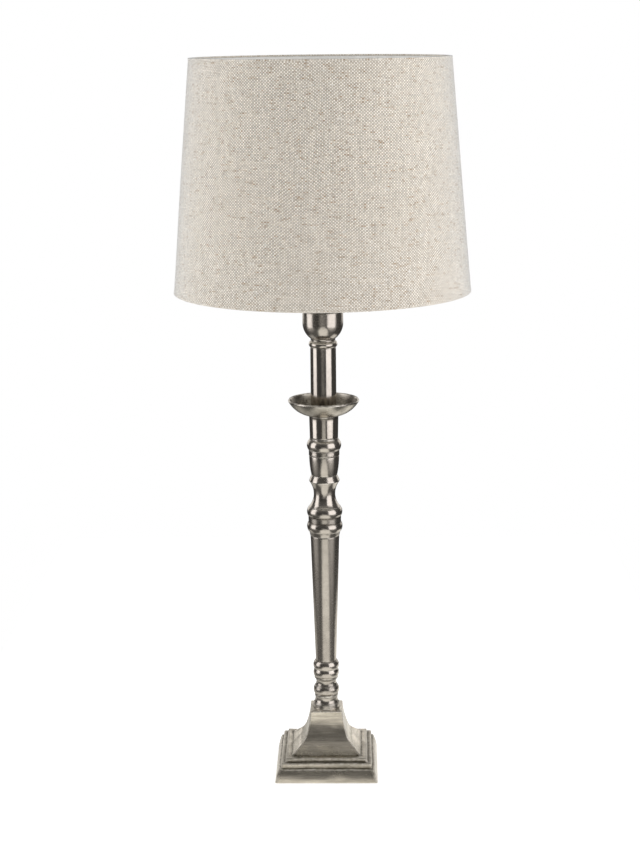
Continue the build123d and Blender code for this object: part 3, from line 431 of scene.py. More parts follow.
def make_plain_weave():
    """A coarse plain weave read from the cloth's own flat map, in metres, with painted shade where the
    yarns run low.
    """
    tree, given, out = new_group(
        "plain weave",
        {
            "Warp Pitch": ("value", 0.0016), "Weft Pitch": ("value", 0.00147),
            "Warp": ("colour", WHITE), "Weft": ("colour", WHITE), "Gap Shade": ("colour", BLACK),
            "Wander": ("value", 0.4), "Slubs": ("value", 0.5), "Contrast": ("value", 1.0),
        },
        {"Color": "colour", "Height": "value", "Roughness": "value"},
    )
    flat = add(tree, "UVMap", uv_map="cloth").outputs[0]
    parts = add(tree, "SeparateXYZ", {0: flat}).outputs
    # the yarns wander a little, each way
    drift_u = cloud(tree, stretched(tree, flat, (90, 26, 1)), 1.0, 3, 0.6)
    drift_v = cloud(tree, stretched(tree, flat, (26, 90, 1)), 1.3, 3, 0.6)
    most = sum_up(tree, "MULTIPLY", given["Wander"], 6.0)
    across = sum_up(tree, "DIVIDE", parts[0], given["Warp Pitch"])
    along = sum_up(tree, "DIVIDE", parts[1], given["Weft Pitch"])
    across = sum_up(tree, "MULTIPLY_ADD", sum_up(tree, "SUBTRACT", drift_u, 0.5), most, across)
    along = sum_up(tree, "MULTIPLY_ADD", sum_up(tree, "SUBTRACT", drift_v, 0.5), most, along)
    warp_no = sum_up(tree, "FLOOR", across)
    weft_no = sum_up(tree, "FLOOR", along)
    warp_at = sum_up(tree, "SUBTRACT", sum_up(tree, "FRACT", across), 0.5)
    weft_at = sum_up(tree, "SUBTRACT", sum_up(tree, "FRACT", along), 0.5)
    parity = sum_up(tree, "PINGPONG", sum_up(tree, "ADD", warp_no, weft_no), 1.0)

    def along_yarns(first, second, lot, rough):
        """Noise that changes slowly along each yarn and jumps from one yarn to the next."""
        sides = [sum_up(tree, "MULTIPLY", *side) for side in (first, second)]
        seed = add(tree, "CombineXYZ", {0: sides[0], 1: sides[1], 2: lot}).outputs[0]
        return cloud(tree, seed, 1.0, 2, rough)

    # each yarn keeps its own tone and swells slowly along its length
    jump, drift = 7.31, 0.055
    warp_tone = along_yarns((warp_no, jump), (along, drift), 3.0, 0.6)
    weft_tone = along_yarns((across, drift), (weft_no, jump), 11.0, 0.6)
    half_warp = spread(tree, warp_tone, 0.3, 0.7, 0.48, 0.60, "LINEAR")
    half_weft = spread(tree, weft_tone, 0.3, 0.7, 0.42, 0.58, "LINEAR")

    def round_yarn(at, half):
        """The height of a round yarn's skin, from its middle out."""
        share = sum_up(tree, "DIVIDE", at, half)
        left = sum_up(tree, "SUBTRACT", 1.0, sum_up(tree, "MULTIPLY", share, share), clamp=True)
        return sum_up(tree, "SQRT", left)

    warp_round = round_yarn(warp_at, half_warp)
    weft_round = round_yarn(weft_at, half_weft)
    warp_crown = sum_up(tree, "COSINE", sum_up(tree, "MULTIPLY", weft_at, math.pi))
    weft_crown = sum_up(tree, "COSINE", sum_up(tree, "MULTIPLY", warp_at, math.pi))
    # the warp goes over at every second crossing and the weft at the others
    lift = 0.9
    warp_up = sum_up(tree, "SUBTRACT", 0.5, parity)
    warp_bow = sum_up(tree, "MULTIPLY", warp_up, warp_crown)
    weft_bow = sum_up(tree, "MULTIPLY", warp_up, weft_crown)
    warp_high = sum_up(tree, "MULTIPLY_ADD", warp_bow, lift, warp_round)
    weft_high = sum_up(tree, "MULTIPLY_ADD", weft_bow, -lift, weft_round)
    top = sum_up(tree, "MAXIMUM", warp_high, weft_high)
    which = spread(tree, sum_up(tree, "SUBTRACT", warp_high, weft_high), -0.08, 0.08)
    yarn = blend_colour(tree, which, given["Weft"], given["Warp"])
    quiet = spread(tree, warp_tone, 0.25, 0.75, 0.40, 0.60, "LINEAR")
    tone = sum_up(tree, "MULTIPLY_ADD", sum_up(tree, "SUBTRACT", quiet, weft_tone), which, weft_tone)
    cell = add(tree, "CombineXYZ", {0: warp_no, 1: weft_no, 2: 0.5}).outputs[0]
    lot = add(tree, "TexWhiteNoise", {"Vector": cell}, noise_dimensions="3D")
    shade = spread(tree, tone, 0.25, 0.75, 0.86, 1.13, "LINEAR")
    odd = spread(tree, lot.outputs["Value"], 0, 1, 0.86, 1.12, "LINEAR")
    shade = sum_up(tree, "MULTIPLY", shade, odd)
    depth = spread(tree, top, 0.45, 1.2)
    along_weft = cloud(tree, stretched(tree, flat, (18, 300, 1)), 1.0, 3, 0.6)
    along_warp = cloud(tree, stretched(tree, flat, (300, 40, 1)), 1.0, 3, 0.6)
    patch = spread(tree, sum_up(tree, "ADD", along_weft, along_warp), 0.78, 1.18, 0.64, 1.0)
    strength = sum_up(tree, "MULTIPLY", patch, given["Contrast"], clamp=True)
    # painted shade: the cloth darkens towards the gap colour where the yarns run low, between them and down
    # their sides
    sunk_shade = sum_up(tree, "MULTIPLY", sum_up(tree, "SUBTRACT", 1.0, depth), strength)
    mean = blend_colour(tree, 0.5, given["Weft"], given["Warp"])
    yarn = blend_colour(tree, strength, mean, yarn)
    cloth = blend_colour(tree, sunk_shade, yarn, given["Gap Shade"])
    # thick places in the yarn, most of them brown
    slub_jump = 3.77
    warp_slub = spread(tree, along_yarns((warp_no, slub_jump), (along, 0.26), 19.0, 0.5), 0.62, 0.74)
    weft_slub = spread(tree, along_yarns((across, 0.2), (weft_no, slub_jump), 27.0, 0.5), 0.55, 0.70)
    warp_slub = sum_up(tree, "MULTIPLY", warp_slub, spread(tree, which, 0, 1, 0.3, 0.7, "LINEAR"))
    weft_slub = sum_up(tree, "MULTIPLY", weft_slub, spread(tree, which, 0, 1, 1.0, 0.5, "LINEAR"))
    slub = sum_up(tree, "MAXIMUM", warp_slub, weft_slub)
    slub = sum_up(tree, "MULTIPLY", slub, given["Slubs"], clamp=True)
    hue = cloud(tree, stretched(tree, flat, (70, 200, 1)), 1.0, 2, 0.5)
    brown, pale = (0.36, 0.245, 0.14, 1), (0.80, 0.77, 0.70, 1)
    slub_colour = blend_colour(tree, spread(tree, hue, 0.53, 0.60), brown, pale)
    cloth = blend_colour(tree, slub, cloth, slub_colour)
    # a small difference of tone and hue from one crossing to the next
    tinted = add(tree, "CombineColor", {0: shade, 1: shade, 2: shade}).outputs[0]
    stray = blend_colour(tree, 0.26, WHITE, lot.outputs["Color"], "OVERLAY")
    tinted = blend_colour(tree, 1.0, tinted, stray, "MULTIPLY")
    tree.links.new(blend_colour(tree, 1.0, cloth, tinted, "MULTIPLY"), out["Color"])
    fibre = cloud(tree, flat, 9000, 2, 0.6)
    tree.links.new(sum_up(tree, "MULTIPLY_ADD", fibre, 0.25, top), out["Height"])
    tree.links.new(spread(tree, depth, 0, 1, 0.98, 0.86, "LINEAR"), out["Roughness"])
    return tree


def make_fine_grain():
    """The small unevenness of a moulded, cast, pressed or painted skin."""
    tree, given, out = new_group(
        "fine grain",
        {
            "Light": ("colour", WHITE), "Dark": ("colour", BLACK), "Grain": ("value", 2500.0),
            "Mottle": ("value", 120.0), "Share": ("value", 0.5), "Polish": ("value", 0.4),
        },
        {"Color": "colour", "Roughness": "value", "Height": "value"},
    )
    place = add(tree, "TexCoord").outputs["Object"]
    small = cloud(tree, place, given["Grain"], 3, 0.6)
    broad = cloud(tree, place, given["Mottle"], 4, 0.6)
    both = sum_up(tree, "MULTIPLY_ADD", small, 0.4, sum_up(tree, "MULTIPLY", broad, 0.6))
    both = spread(tree, both, 0.38, 0.62)
    share = sum_up(tree, "MULTIPLY", both, given["Share"], clamp=True)
    tree.links.new(blend_colour(tree, share, given["Light"], given["Dark"]), out["Color"])
    tree.links.new(sum_up(tree, "MULTIPLY_ADD", both, 0.12, given["Polish"]), out["Roughness"])
    tree.links.new(small, out["Height"])
    return tree


old_plate = make_tarnish()
lathe_lines = make_lathe_lines()
brushing = make_brushing()
plain_weave = make_plain_weave()
fine_grain = make_fine_grain()

# ---------------------------------------------------------------- materials


def turned_nickel(name, cloudiness, polish, specks, cloud_size=38.0,
                  metal=(0.62, 0.575, 0.515, 1), pitch=1700.0):
    """Old nickel plate on a piece turned in the lathe."""
    made, tree, shader = new_material(name, Metallic=1.0)
    plate = fill_group(tree, old_plate, {
        "Metal": metal, "Tarnish": (0.12, 0.105, 0.085, 1), "Worn": (0.80, 0.765, 0.70, 1),
        "Cloud Size": cloud_size, "Cloudiness": cloudiness, "Specks": specks,
        "Hollows": 0.95, "Edges": 0.85, "Polish": polish, "Grain Size": (420, 420, 1100),
    })
    rings = fill_group(tree, lathe_lines, {"Pitch": pitch})
    feed(tree, shader, plate)
    lines = relief(tree, shader, rings.outputs["Height"], 0.012 * MM)
    relief(tree, shader, plate.outputs["Height"], 0.04 * MM, lines)
    return made


def cast_nickel():
    """Old nickel plate on the brushed casting of the base."""
    made, tree, shader = new_material("brushed nickel casting", Metallic=0.9)
    streaks = fill_group(tree, brushing, {"Across": (40, 40, 700)})
    plate = fill_group(tree, old_plate, {
        "Metal": (0.78, 0.72, 0.61, 1), "Tarnish": (0.11, 0.096, 0.066, 1), "Worn": (0.86, 0.82, 0.74, 1),
        "Cloud Size": 26.0, "Cloudiness": 0.22, "Specks": 0.5, "Hollows": 1.0, "Edges": 1.0,
        "Polish": 0.17, "Edge Dullness": 0.3, "Grain Size": (220, 220, 1000),
    })
    share = spread(tree, streaks.outputs["Streaks"], 0, 1, 0.0, 0.44, "LINEAR")
    rubbed = blend_colour(tree, share, plate.outputs["Color"], (0.21, 0.19, 0.14, 1))
    tree.links.new(rubbed, shader.inputs["Base Color"])
    tree.links.new(plate.outputs["Roughness"], shader.inputs["Roughness"])
    lines = relief(tree, shader, streaks.outputs["Height"], 0.05 * MM)
    relief(tree, shader, plate.outputs["Height"], 0.04 * MM, lines)
    return made


def plain_skin(name, light, dark, polish, grain=2500.0, share=0.5, depth=0.02, mottle=90.0, **plain):
    """An even finish with a darker mottle; the depth of its grain is in millimetres."""
    made, tree, shader = new_material(name, **plain)
    skin = fill_group(tree, fine_grain, {"Light": (*light, 1), "Dark": (*dark, 1), "Grain": grain,
                                         "Mottle": mottle, "Share": share, "Polish": polish})
    feed(tree, shader, skin)
    relief(tree, shader, skin.outputs["Height"], depth * MM)
    return made


def plain_metal(name, light, dark, polish, grain=1800.0, share=0.5, depth=0.02):
    """An even finish on bare or plated metal."""
    return plain_skin(name, light, dark, polish, grain, share, depth, mottle=150.0, Metallic=1.0)


def linen_cloth(name, contrast):
    """Coarse natural linen."""
    made, tree, shader = new_material(name, Sheen_Weight=0.9, Sheen_Roughness=0.4, Specular_IOR_Level=0.2,
                                      Sheen_Tint=(0.85, 0.93, 1, 1))
    # the gap colour is painted shade between and beside the yarns
    weave = fill_group(tree, plain_weave, {
        "Warp": (0.97, 0.932, 0.86, 1), "Weft": (0.55, 0.48, 0.375, 1), "Gap Shade": (0.20, 0.155, 0.105, 1),
        "Wander": 0.04, "Slubs": 0.85, "Contrast": contrast,
    })
    feed(tree, shader, weave)
    relief(tree, shader, weave.outputs["Height"], 0.22 * MM)
    return made


nickel = turned_nickel("turned nickel", cloudiness=0.16, polish=0.17, specks=0.35)
nickel_tube = turned_nickel("tube nickel", cloudiness=0.16, polish=0.12, specks=0.30)
nickel_cup = turned_nickel("cup nickel", cloudiness=0.18, polish=0.19, specks=0.25)
nickel_column = turned_nickel("column nickel", cloudiness=0.24, polish=0.20, specks=0.40, pitch=620.0)
nickel_low = turned_nickel("baluster nickel", cloudiness=0.26, polish=0.19, specks=0.45)
nickel_pan = turned_nickel("pan nickel", cloudiness=0.30, polish=0.23, specks=0.6, cloud_size=70.0,
                           metal=(0.61, 0.57, 0.495, 1))
casting = cast_nickel()
linen = linen_cloth("natural linen", contrast=1.0)
hem_linen = linen_cloth("linen hem", contrast=0.5)
felt = plain_skin("wool felt", (0.055, 0.055, 0.06), (0.028, 0.028, 0.03), 0.85, 3500.0, 0.9, 0.25, 200.0,
                  Sheen_Weight=0.4, Sheen_Roughness=0.6, Specular_IOR_Level=0.15)

finishes = {
    "iron": plain_metal("cast iron", (0.20, 0.20, 0.205), (0.09, 0.085, 0.08), 0.55, 1400.0, 0.9, 0.12),
    "zinc_steel": plain_metal("zinc plate", (0.66, 0.66, 0.64), (0.44, 0.45, 0.44), 0.28),
    "brass": plain_metal("spun brass", (0.75, 0.58, 0.31), (0.52, 0.38, 0.19), 0.26),
    "nickel_plate": plain_metal("satin nickel", (0.68, 0.66, 0.62), (0.52, 0.50, 0.46), 0.24),
    "solder": plain_metal("solder", (0.64, 0.64, 0.64), (0.42, 0.42, 0.43), 0.35, 1200.0, 0.7, 0.05),
    "bulb_cap_metal": plain_metal("cap sheet", (0.72, 0.72, 0.71), (0.55, 0.55, 0.55), 0.25),
    "black_plastic": plain_skin("black moulding", (0.034, 0.033, 0.033), (0.018, 0.018, 0.018), 0.34),
    "fibre": plain_skin("pressed fibre", (0.46, 0.31, 0.22), (0.32, 0.20, 0.13), 0.7, 1800.0, 0.8, 0.06),
    "porcelain": plain_skin("bisque porcelain", (0.87, 0.86, 0.82), (0.78, 0.76, 0.71), 0.5),
    "lining": plain_skin("shade film", (0.88, 0.87, 0.83), (0.80, 0.785, 0.745), 0.55, 1500.0, 0.6, 0.03),
    "white_wire": plain_skin("white coat", (0.87, 0.87, 0.85), (0.78, 0.78, 0.76), 0.32, 1600.0, 0.5, 0.04),
    "black_glass": plain_skin("black glass", (0.022, 0.022, 0.024), (0.012, 0.012, 0.013), 0.08),
    "white_plastic": plain_skin("white moulding", (0.89, 0.89, 0.87), (0.83, 0.83, 0.81), 0.36),
    "opal": plain_skin("opal diffuser", (0.91, 0.91, 0.88), (0.86, 0.86, 0.83), 0.30),
    "white_board": plain_skin("coated board", (0.85, 0.86, 0.85), (0.74, 0.75, 0.74), 0.4),
    "green_board": plain_skin("circuit board", (0.055, 0.24, 0.13), (0.03, 0.15, 0.08), 0.35),
}

# ---------------------------------------------------------------- turned stem

# each turned piece's finish, and how far its corners are eased in millimetres
stem = {
    "lower_baluster": (nickel_low, 0.25), "column_bead": (nickel_low, 0.2),
    "tapered_column": (nickel_column, 0.25), "column_collar": (nickel, 0.2),
    "waisted_stem": (nickel, 0.25), "urn": (nickel, 0.25),
    "urn_collar": (nickel, 0.2), "pan_socket": (nickel_tube, 0.25),
    "drip_pan": (nickel_pan, 0.2), "candle_tube": (nickel_tube, 0.25),
    "tube_collar": (nickel, 0.2), "socket_cup": (nickel_cup, 0.25),
}


def pan_painted_shade(vert):
    """Painted shade inside the pan, on its upward faces: most near its floor, none on the rim."""
    most, unshaded_from, edge_width, facing_up = 0.86, 36.2, 4, 0.1
    away = math.hypot(vert.co.x, vert.co.y) / MM
    inside = min(max((unshaded_from - away) / edge_width, 0), 1)
    return most * inside if vert.normal.z > facing_up else 0.0


for node, (finish, corner) in stem.items():
    piece = turned("nickel_" + node, "stand", "antique_nickel", node, corner=corner)
    # the drip pan's inside gets painted shade, added to its hollow mask
    mark_wear(piece, painted_shade=pan_painted_shade if node == "drip_pan" else lambda vert: 0.0)
    coat(piece, finish)

# ---------------------------------------------------------------- cast base

# corners of the casting's outline as (half width, level), in millimetres
block_foot, block_head = (54.0, 0.5), (50.0, 14.5)
step1_foot, step1_head = (48.3, 14.5), (47.5, 20.1)
step2_foot, step2_head = (43.4, 20.1), (42.7, 24.1)
ramp_foot, ramp_head = (36.6, 24.1), (27.6, 32.1)
knee, neck = (22.0, 40.5), (16.9, 66.5)
# the hollow under it, from its top down to the foot
hollow = [(12.9, 56.5), (18.0, 38.5), (32.6, 20.1), (38.7, 20.1), (38.7, 16.1),
          (43.5, 16.1), (43.5, 10.5), (46.0, 10.5), (46.0, 0.5), (50.0, 0.5)]
# each flat has a row of points this close to its edges, so that it stays flat beside them
edge_strip = 0.9
# how far the lowest step's flank leans in where it leaves the foot
block_lean = math.radians(8.5)


def arc_after(start, heading, end, count):
    """Points of the arc that leaves start along heading and reaches end, and its heading there."""
    start, end = Vector(start), Vector(end)
    across = Vector((-heading.y, heading.x))
    chord = end - start
    radius = chord.length_squared / (2 * chord.dot(across))
    centre = start + across * radius
    turn = 2 * math.atan2(chord.dot(across), chord.dot(heading))
    points = []
    for index in range(1, count + 1):
        arm = start - centre
        arm.rotate(Matrix.Rotation(turn * index / count, 2))
        points.append(tuple(centre + arm))
    last = heading.copy()
    last.rotate(Matrix.Rotation(turn, 2))
    return points, last


def flat(start, end, longest=2.6):
    """Points along a flat of the outline after its start, with one close to either edge."""
    start, end = Vector(start), Vector(end)
    length = (end - start).length
    places = []
    if length > 3 * edge_strip:
        count = math.ceil((length - 2 * edge_strip) / longest)
        places = [edge_strip + (length - 2 * edge_strip) * index / count for index in range(count + 1)]
    return [tuple(start.lerp(end, place / length)) for place in places] + [tuple(end)]


block_way = Vector((-math.sin(block_lean), math.cos(block_lean)))
block_side, _ = arc_after(block_foot, block_way, block_head, 9)
ramp_way = (Vector(ramp_head) - Vector(ramp_foot)).normalized()
knee_points, leaving_way = arc_after(ramp_head, ramp_way, knee, 7)
neck_points, _ = arc_after(knee, leaving_way, neck, 16)
outside = [block_foot, *block_side]
for corner in (step1_foot, step1_head, step2_foot, step2_head, ramp_foot, ramp_head):
    outside += flat(outside[-1], corner)
base_levels = hollow + outside + knee_points + neck_points


def make_base():
    """The casting: a square ring of edges drawn along the outline, down inside and up outside."""
    cuts = 27
    bpy.ops.object.select_all(action="DESELECT")
    first = base_levels[0]
    bpy.ops.mesh.primitive_plane_add(size=2 * first[0] * MM, location=(0, 0, 0))
    piece = bpy.context.object
    piece.location.z = first[1] * MM
    settle(piece)
    open_up(piece)
    bpy.ops.mesh.select_all(action="SELECT")
    bpy.ops.mesh.subdivide(number_cuts=cuts)
    limit = first[0] * MM - HAIR
    pick(piece, "VERT", lambda v: abs(v.co.x) < limit and abs(v.co.y) < limit)
    bpy.ops.mesh.delete(type="VERT")
    bpy.ops.mesh.select_mode(type="EDGE")
    bpy.ops.mesh.select_all(action="SELECT")
    for before, after in zip(base_levels, base_levels[1:]):
        share = after[0] / before[0]
        bpy.ops.mesh.extrude_edges_move(
            TRANSFORM_OT_translate={"value": (0, 0, (after[1] - before[1]) * MM)})
        bpy.ops.transform.resize(value=(share, share, 1), center_override=(0, 0, after[1] * MM))
    bpy.ops.mesh.edge_face_add()
    pick(piece, "EDGE", lambda e: e.is_boundary)
    bpy.ops.mesh.edge_face_add()
    bpy.ops.mesh.select_all(action="SELECT")
    bpy.ops.mesh.normals_make_consistent(inside=False)
    close_up()
    return piece


def cut_round(piece, radius, start, end, turn=(0, 0, 0)):
    """Cuts a round hole from start to end, given in millimetres."""
    bpy.ops.object.select_all(action="DESELECT")
    start, end = Vector(start), Vector(end)
    bpy.ops.mesh.primitive_cylinder_add(vertices=64, radius=radius * MM, depth=(end - start).length * MM,
                                        location=(start + end) / 2 * MM, rotation=turn)
    cutter = bpy.context.object
    settle(cutter)
    finish_with(piece, "BOOLEAN", operation="DIFFERENCE", solver="EXACT", object=cutter)
    bpy.data.objects.remove(cutter)


def weather(place):
    """How far a point of the old casting has moved, in metres; its foot and its neck's top stay true."""
    level = place.z / MM
    calm_low = min(max((level - 4) / 8, 0), 1)
    calm_high = min(max((62 - level) / 12, 0), 1)
    share = calm_low * calm_high
    waves_a_metre, ripples_a_metre, upright = 62, 190, 0.8
    wave = noise.noise_vector(place * waves_a_metre)
    ripple = noise.noise_vector(place * ripples_a_metre + Vector((5, 2, 8)))
    move = wave * 0.5 * MM + ripple * 0.1 * MM
    return Vector((move.x, move.y, move.z * upright)) * share


def on_outside(vert):
    """Whether a point of the casting is on its outer side, below the neck's rim."""
    neck_half = 16 * MM
    out_and_up = Vector((vert.co.x, vert.co.y, 20 * MM))
    return max(abs(vert.co.x), abs(vert.co.y)) > neck_half and vert.normal.dot(out_and_up) > 0


# the noise that weather uses starts anew each run unless it is given a number
noise.seed_set(1)
base = make_base()
take(base)
named("nickel_base", "stand", "antique_nickel", "base_casting")
for vertex in [v for v in base.data.vertices if on_outside(v)]:
    vertex.co += weather(vertex.co)
ease(base, 0.75, 3, 24)
tube_hole, bush_seat, bush_hole = 5.3, 6.0, 4.45
bush_level, inside_rear, seat_floor, past_rear = 8, 40, 50.3, 62
lying = (math.radians(90), 0, 0)
cut_round(base, tube_hole, (0, 0, 40), (0, 0, 80))
cut_round(base, bush_seat, (0, seat_floor, bush_level), (0, past_rear, bush_level), lying)
cut_round(base, bush_hole, (0, inside_rear, bush_level), (0, past_rear, bush_level), lying)
smooth(base, 30)
mark_wear(base, reach=0.8, grime=0.34, joints=False)
coat(base, casting)

# ---------------------------------------------------------------- linen shade

skin_low, skin_high = 515.75, 746.15
skin_low_radius, skin_high_radius = 150.85, 131.15
slant = math.hypot(skin_high - skin_low, skin_low_radius - skin_high_radius)
opening = (skin_low_radius - skin_high_radius) / slant
slices, rows = 256, 58
cloth_thick, seam_thick, fold_thick = 0.8, 0.5, 0.45
lap_width, fold_width, seam_rise = 14, 9, 0.55
hem_radius = (skin_low_radius + skin_high_radius) / 2 * MM
# moves the weave of the seam's upper layer away from that of the cloth below it
seam_shift = (0.31, 0.1273)


def flat_place(point, around):
    """Where a point of the shade lies on the cloth's flat cut, in metres."""
    reach = math.hypot(point.x, point.y) / opening
    return reach * math.sin(around * opening), -reach * math.cos(around * opening)


def lay_flat(piece, rule):
    """Gives a cloth piece its flat map; the seam is at the back."""
    layers = piece.data.uv_layers
    layer = layers["cloth"] if "cloth" in layers else layers.new(name="cloth")
    verts = piece.data.vertices
    for face in piece.data.polygons:
        middle = math.atan2(face.center.x, -face.center.y)
        for loop in face.loop_indices:
            point = verts[piece.data.loops[loop].vertex_index].co
            around = math.atan2(point.x, -point.y)
            if around - middle > math.pi:
                around -= TURN
            if middle - around > math.pi:
                around += TURN
            layer.data[loop].uv = rule(point, around)


def draw_cone(low, high, low_radius, high_radius, steps, inward=False):
    """A ring of edges drawn up the shade's cone in even steps."""
    bpy.ops.object.select_all(action="DESELECT")
    bpy.ops.mesh.primitive_circle_add(vertices=slices, radius=low_radius * MM, location=(0, 0, 0))
    piece = bpy.context.object
    piece.location.z = low * MM
    settle(piece)
    open_up(piece, "EDGE")
    bpy.ops.mesh.select_all(action="SELECT")
    step = (high - low) / steps
    for row in range(steps):
        before = low_radius + (high_radius - low_radius) * row / steps
        after = low_radius + (high_radius - low_radius) * (row + 1) / steps
        height = (low + step * (row + 1)) * MM
        share = after / before
        bpy.ops.mesh.extrude_edges_move(TRANSFORM_OT_translate={"value": (0, 0, step * MM)})
        bpy.ops.transform.resize(value=(share, share, 1), center_override=(0, 0, height))
    bpy.ops.mesh.select_all(action="SELECT")
    bpy.ops.mesh.normals_make_consistent(inside=inward)
    close_up()
    return piece


def make_skin():
    """The cloth as a cone, slightly uneven between its edges."""
    most = 0.35 * MM
    piece = draw_cone(skin_low, skin_high, skin_low_radius, skin_high_radius, rows)
    middle = (skin_low + skin_high) / 2 * MM
    half = (skin_high - skin_low) / 2 * MM
    for vertex in piece.data.vertices:
        out = Vector((vertex.co.x, vertex.co.y, 0)).normalized()
        calm = 1 - ((vertex.co.z - middle) / half) ** 4
        wave = noise.noise(Vector((out.x * 5, out.y * 5, vertex.co.z * 9)))
        vertex.co += out * wave * most * calm
    return piece


skin = make_skin()
take(skin)
named("linen_skin", "shade", "linen", "shade_linen")
open_up(skin, "FACE")
half_lap = 2.5 * TURN / slices


def at_lap(face):
    """Whether a face of the cloth lies where its ends overlap, at the back."""
    middle = face.calc_center_median()
    return abs(math.atan2(middle.x, middle.y)) < half_lap


pick(skin, "FACE", at_lap)
bpy.ops.mesh.duplicate()
bpy.ops.mesh.separate(type="SELECTED")
close_up()
seam = next(o for o in bpy.context.selected_objects if o != skin)
take(seam)
named("linen_seam", "shade", "linen")
for vertex in seam.data.vertices:
    vertex.co += Vector((vertex.co.x, vertex.co.y, 0)).normalized() * seam_rise * MM
for cloth in (skin, seam):
    open_up(cloth, "FACE")
    bpy.ops.mesh.select_all(action="SELECT")
    bpy.ops.mesh.normals_make_consistent(inside=False)
    close_up()
open_up(seam, "FACE")
if pick(seam, "FACE", lambda f: f.normal.y < 0):
    bpy.ops.mesh.flip_normals()
close_up()
finish_with(skin, "SOLIDIFY", thickness=cloth_thick * MM, offset=-1.0, use_even_offset=True)
finish_with(seam, "SOLIDIFY", thickness=seam_thick * MM, offset=-1.0, use_even_offset=True)
ease(seam, 0.15, 2, 40)
lay_flat(skin, flat_place)
lay_flat(seam, lambda point, around: tuple(map(sum, zip(flat_place(point, around), seam_shift))))
smooth(skin, 40)
smooth(seam, 40)
coat(skin, linen)
coat(seam, linen)

for node, name in (("bottom_roll", "linen_bottom_hem"), ("top_roll", "linen_top_hem")):
    roll = turned(name, "shade", "linen", node, steps=256, corner=0.35, longest=0.5)
    lay_flat(roll, lambda point, around: (around * hem_radius, point.z + math.hypot(point.x, point.y)))
    coat(roll, hem_linen)


def turned_in(name, low):
    """The cloth's edge, folded over the wire and glued down inside the lining; it starts at a level."""
    cloth_and_lining = 1.5
    lean = (skin_low_radius - skin_high_radius) / (skin_high - skin_low)
    radius = skin_low_radius - (low - skin_low) * lean - cloth_and_lining
    piece = draw_cone(low, low + fold_width, radius, radius - lean * fold_width, 5, inward=True)
    for vertex in piece.data.vertices:
        out = Vector((vertex.co.x, vertex.co.y, 0)).normalized()
        ragged = noise.noise(Vector((out.x * 40, out.y * 40, 3))) * 0.5 * MM
        vertex.co.z += ragged * (vertex.co.z / MM - low) / fold_width
    take(piece)
    named(name, "shade", "linen")
    finish_with(piece, "SOLIDIFY", thickness=fold_thick * MM, offset=1.0, use_even_offset=True)
    lay_flat(piece, lambda point, around: (around * hem_radius, point.z))
    smooth(piece, 40)
    coat(piece, hem_linen)
    return piece


fold_low = turned_in("linen_fold_bottom", 516.0)
fold_high = turned_in("linen_fold_top", 737.0)

# ---------------------------------------------------------------- felt foot


def make_felt():
    """The felt under the base, cut square with round corners."""
    low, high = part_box("felt_pad")
    bpy.ops.object.select_all(action="DESELECT")
    bpy.ops.mesh.primitive_plane_add(size=high.x - low.x, location=(0, 0, low.z))
    piece = bpy.context.object
    settle(piece)
    open_up(piece)
    bpy.ops.mesh.select_all(action="SELECT")
    bpy.ops.mesh.bevel(offset=3 * MM, segments=6, affect="VERTICES")
    bpy.ops.mesh.select_all(action="SELECT")
    bpy.ops.mesh.extrude_region_move(TRANSFORM_OT_translate={"value": (0, 0, high.z - low.z)})
    bpy.ops.mesh.select_all(action="SELECT")
    bpy.ops.mesh.normals_make_consistent(inside=False)
    close_up()
    ease(piece, 0.5, 3, 50)
    return piece


foot = make_felt()
take(foot)
named("felt_foot", "stand", "felt", "felt_pad")
smooth(foot, 40)
coat(foot, felt)

# ---------------------------------------------------------------- carried-over pieces

for row in frame["record"]["subparts"]:
    if row["material_slot"] in finishes:
        coat(nodes[row["node"]], finishes[row["material_slot"]])

# ---------------------------------------------------------------- studio


def new_light(name, place, target, size, power, colour=(1, 1, 1), shiny=True):
    """A flat lamp that faces a point; one that isn't shiny gives light but no reflection."""
    lamp = bpy.data.lights.new(name, "AREA")
    lamp.shape = "RECTANGLE"
    lamp.size, lamp.size_y = size
    lamp.energy = power
    lamp.color = colour
    held = bpy.data.objects.new(name, lamp)
    bpy.context.scene.collection.objects.link(held)
    held.location = place
    held.rotation_euler = (Vector(target) - Vector(place)).to_track_quat("-Z", "Y").to_euler()
    held.visible_glossy = shiny
    return held


box_white = (1, 0.975, 0.99)
new_light("left box", (-1.18, -0.21, 0.7), (0, 0, 0.7), size=(0.78, 1.4), power=5.0, colour=box_white)
new_light("right box", (0.945, -0.739, 0.7), (0, 0, 0.7), size=(1.12, 1.4), power=7.1, colour=box_white)
new_light("left fill", (-1.5, 0.25, 0.8), (0, 0, 0.55), size=(0.9, 1.4), power=8.4, shiny=False)
new_light("right fill", (1.5, 0.35, 0.8), (0, 0, 0.55), size=(0.9, 1.4), power=7.2, shiny=False)


def stage_material(name):
    """An empty material. Returns it, its tree and its output node."""
    made = bpy.data.materials.new(name)
    made.use_nodes = True
    tree = made.node_tree
    tree.nodes.clear()
    out = add(tree, "OutputMaterial")
    return made, tree, out


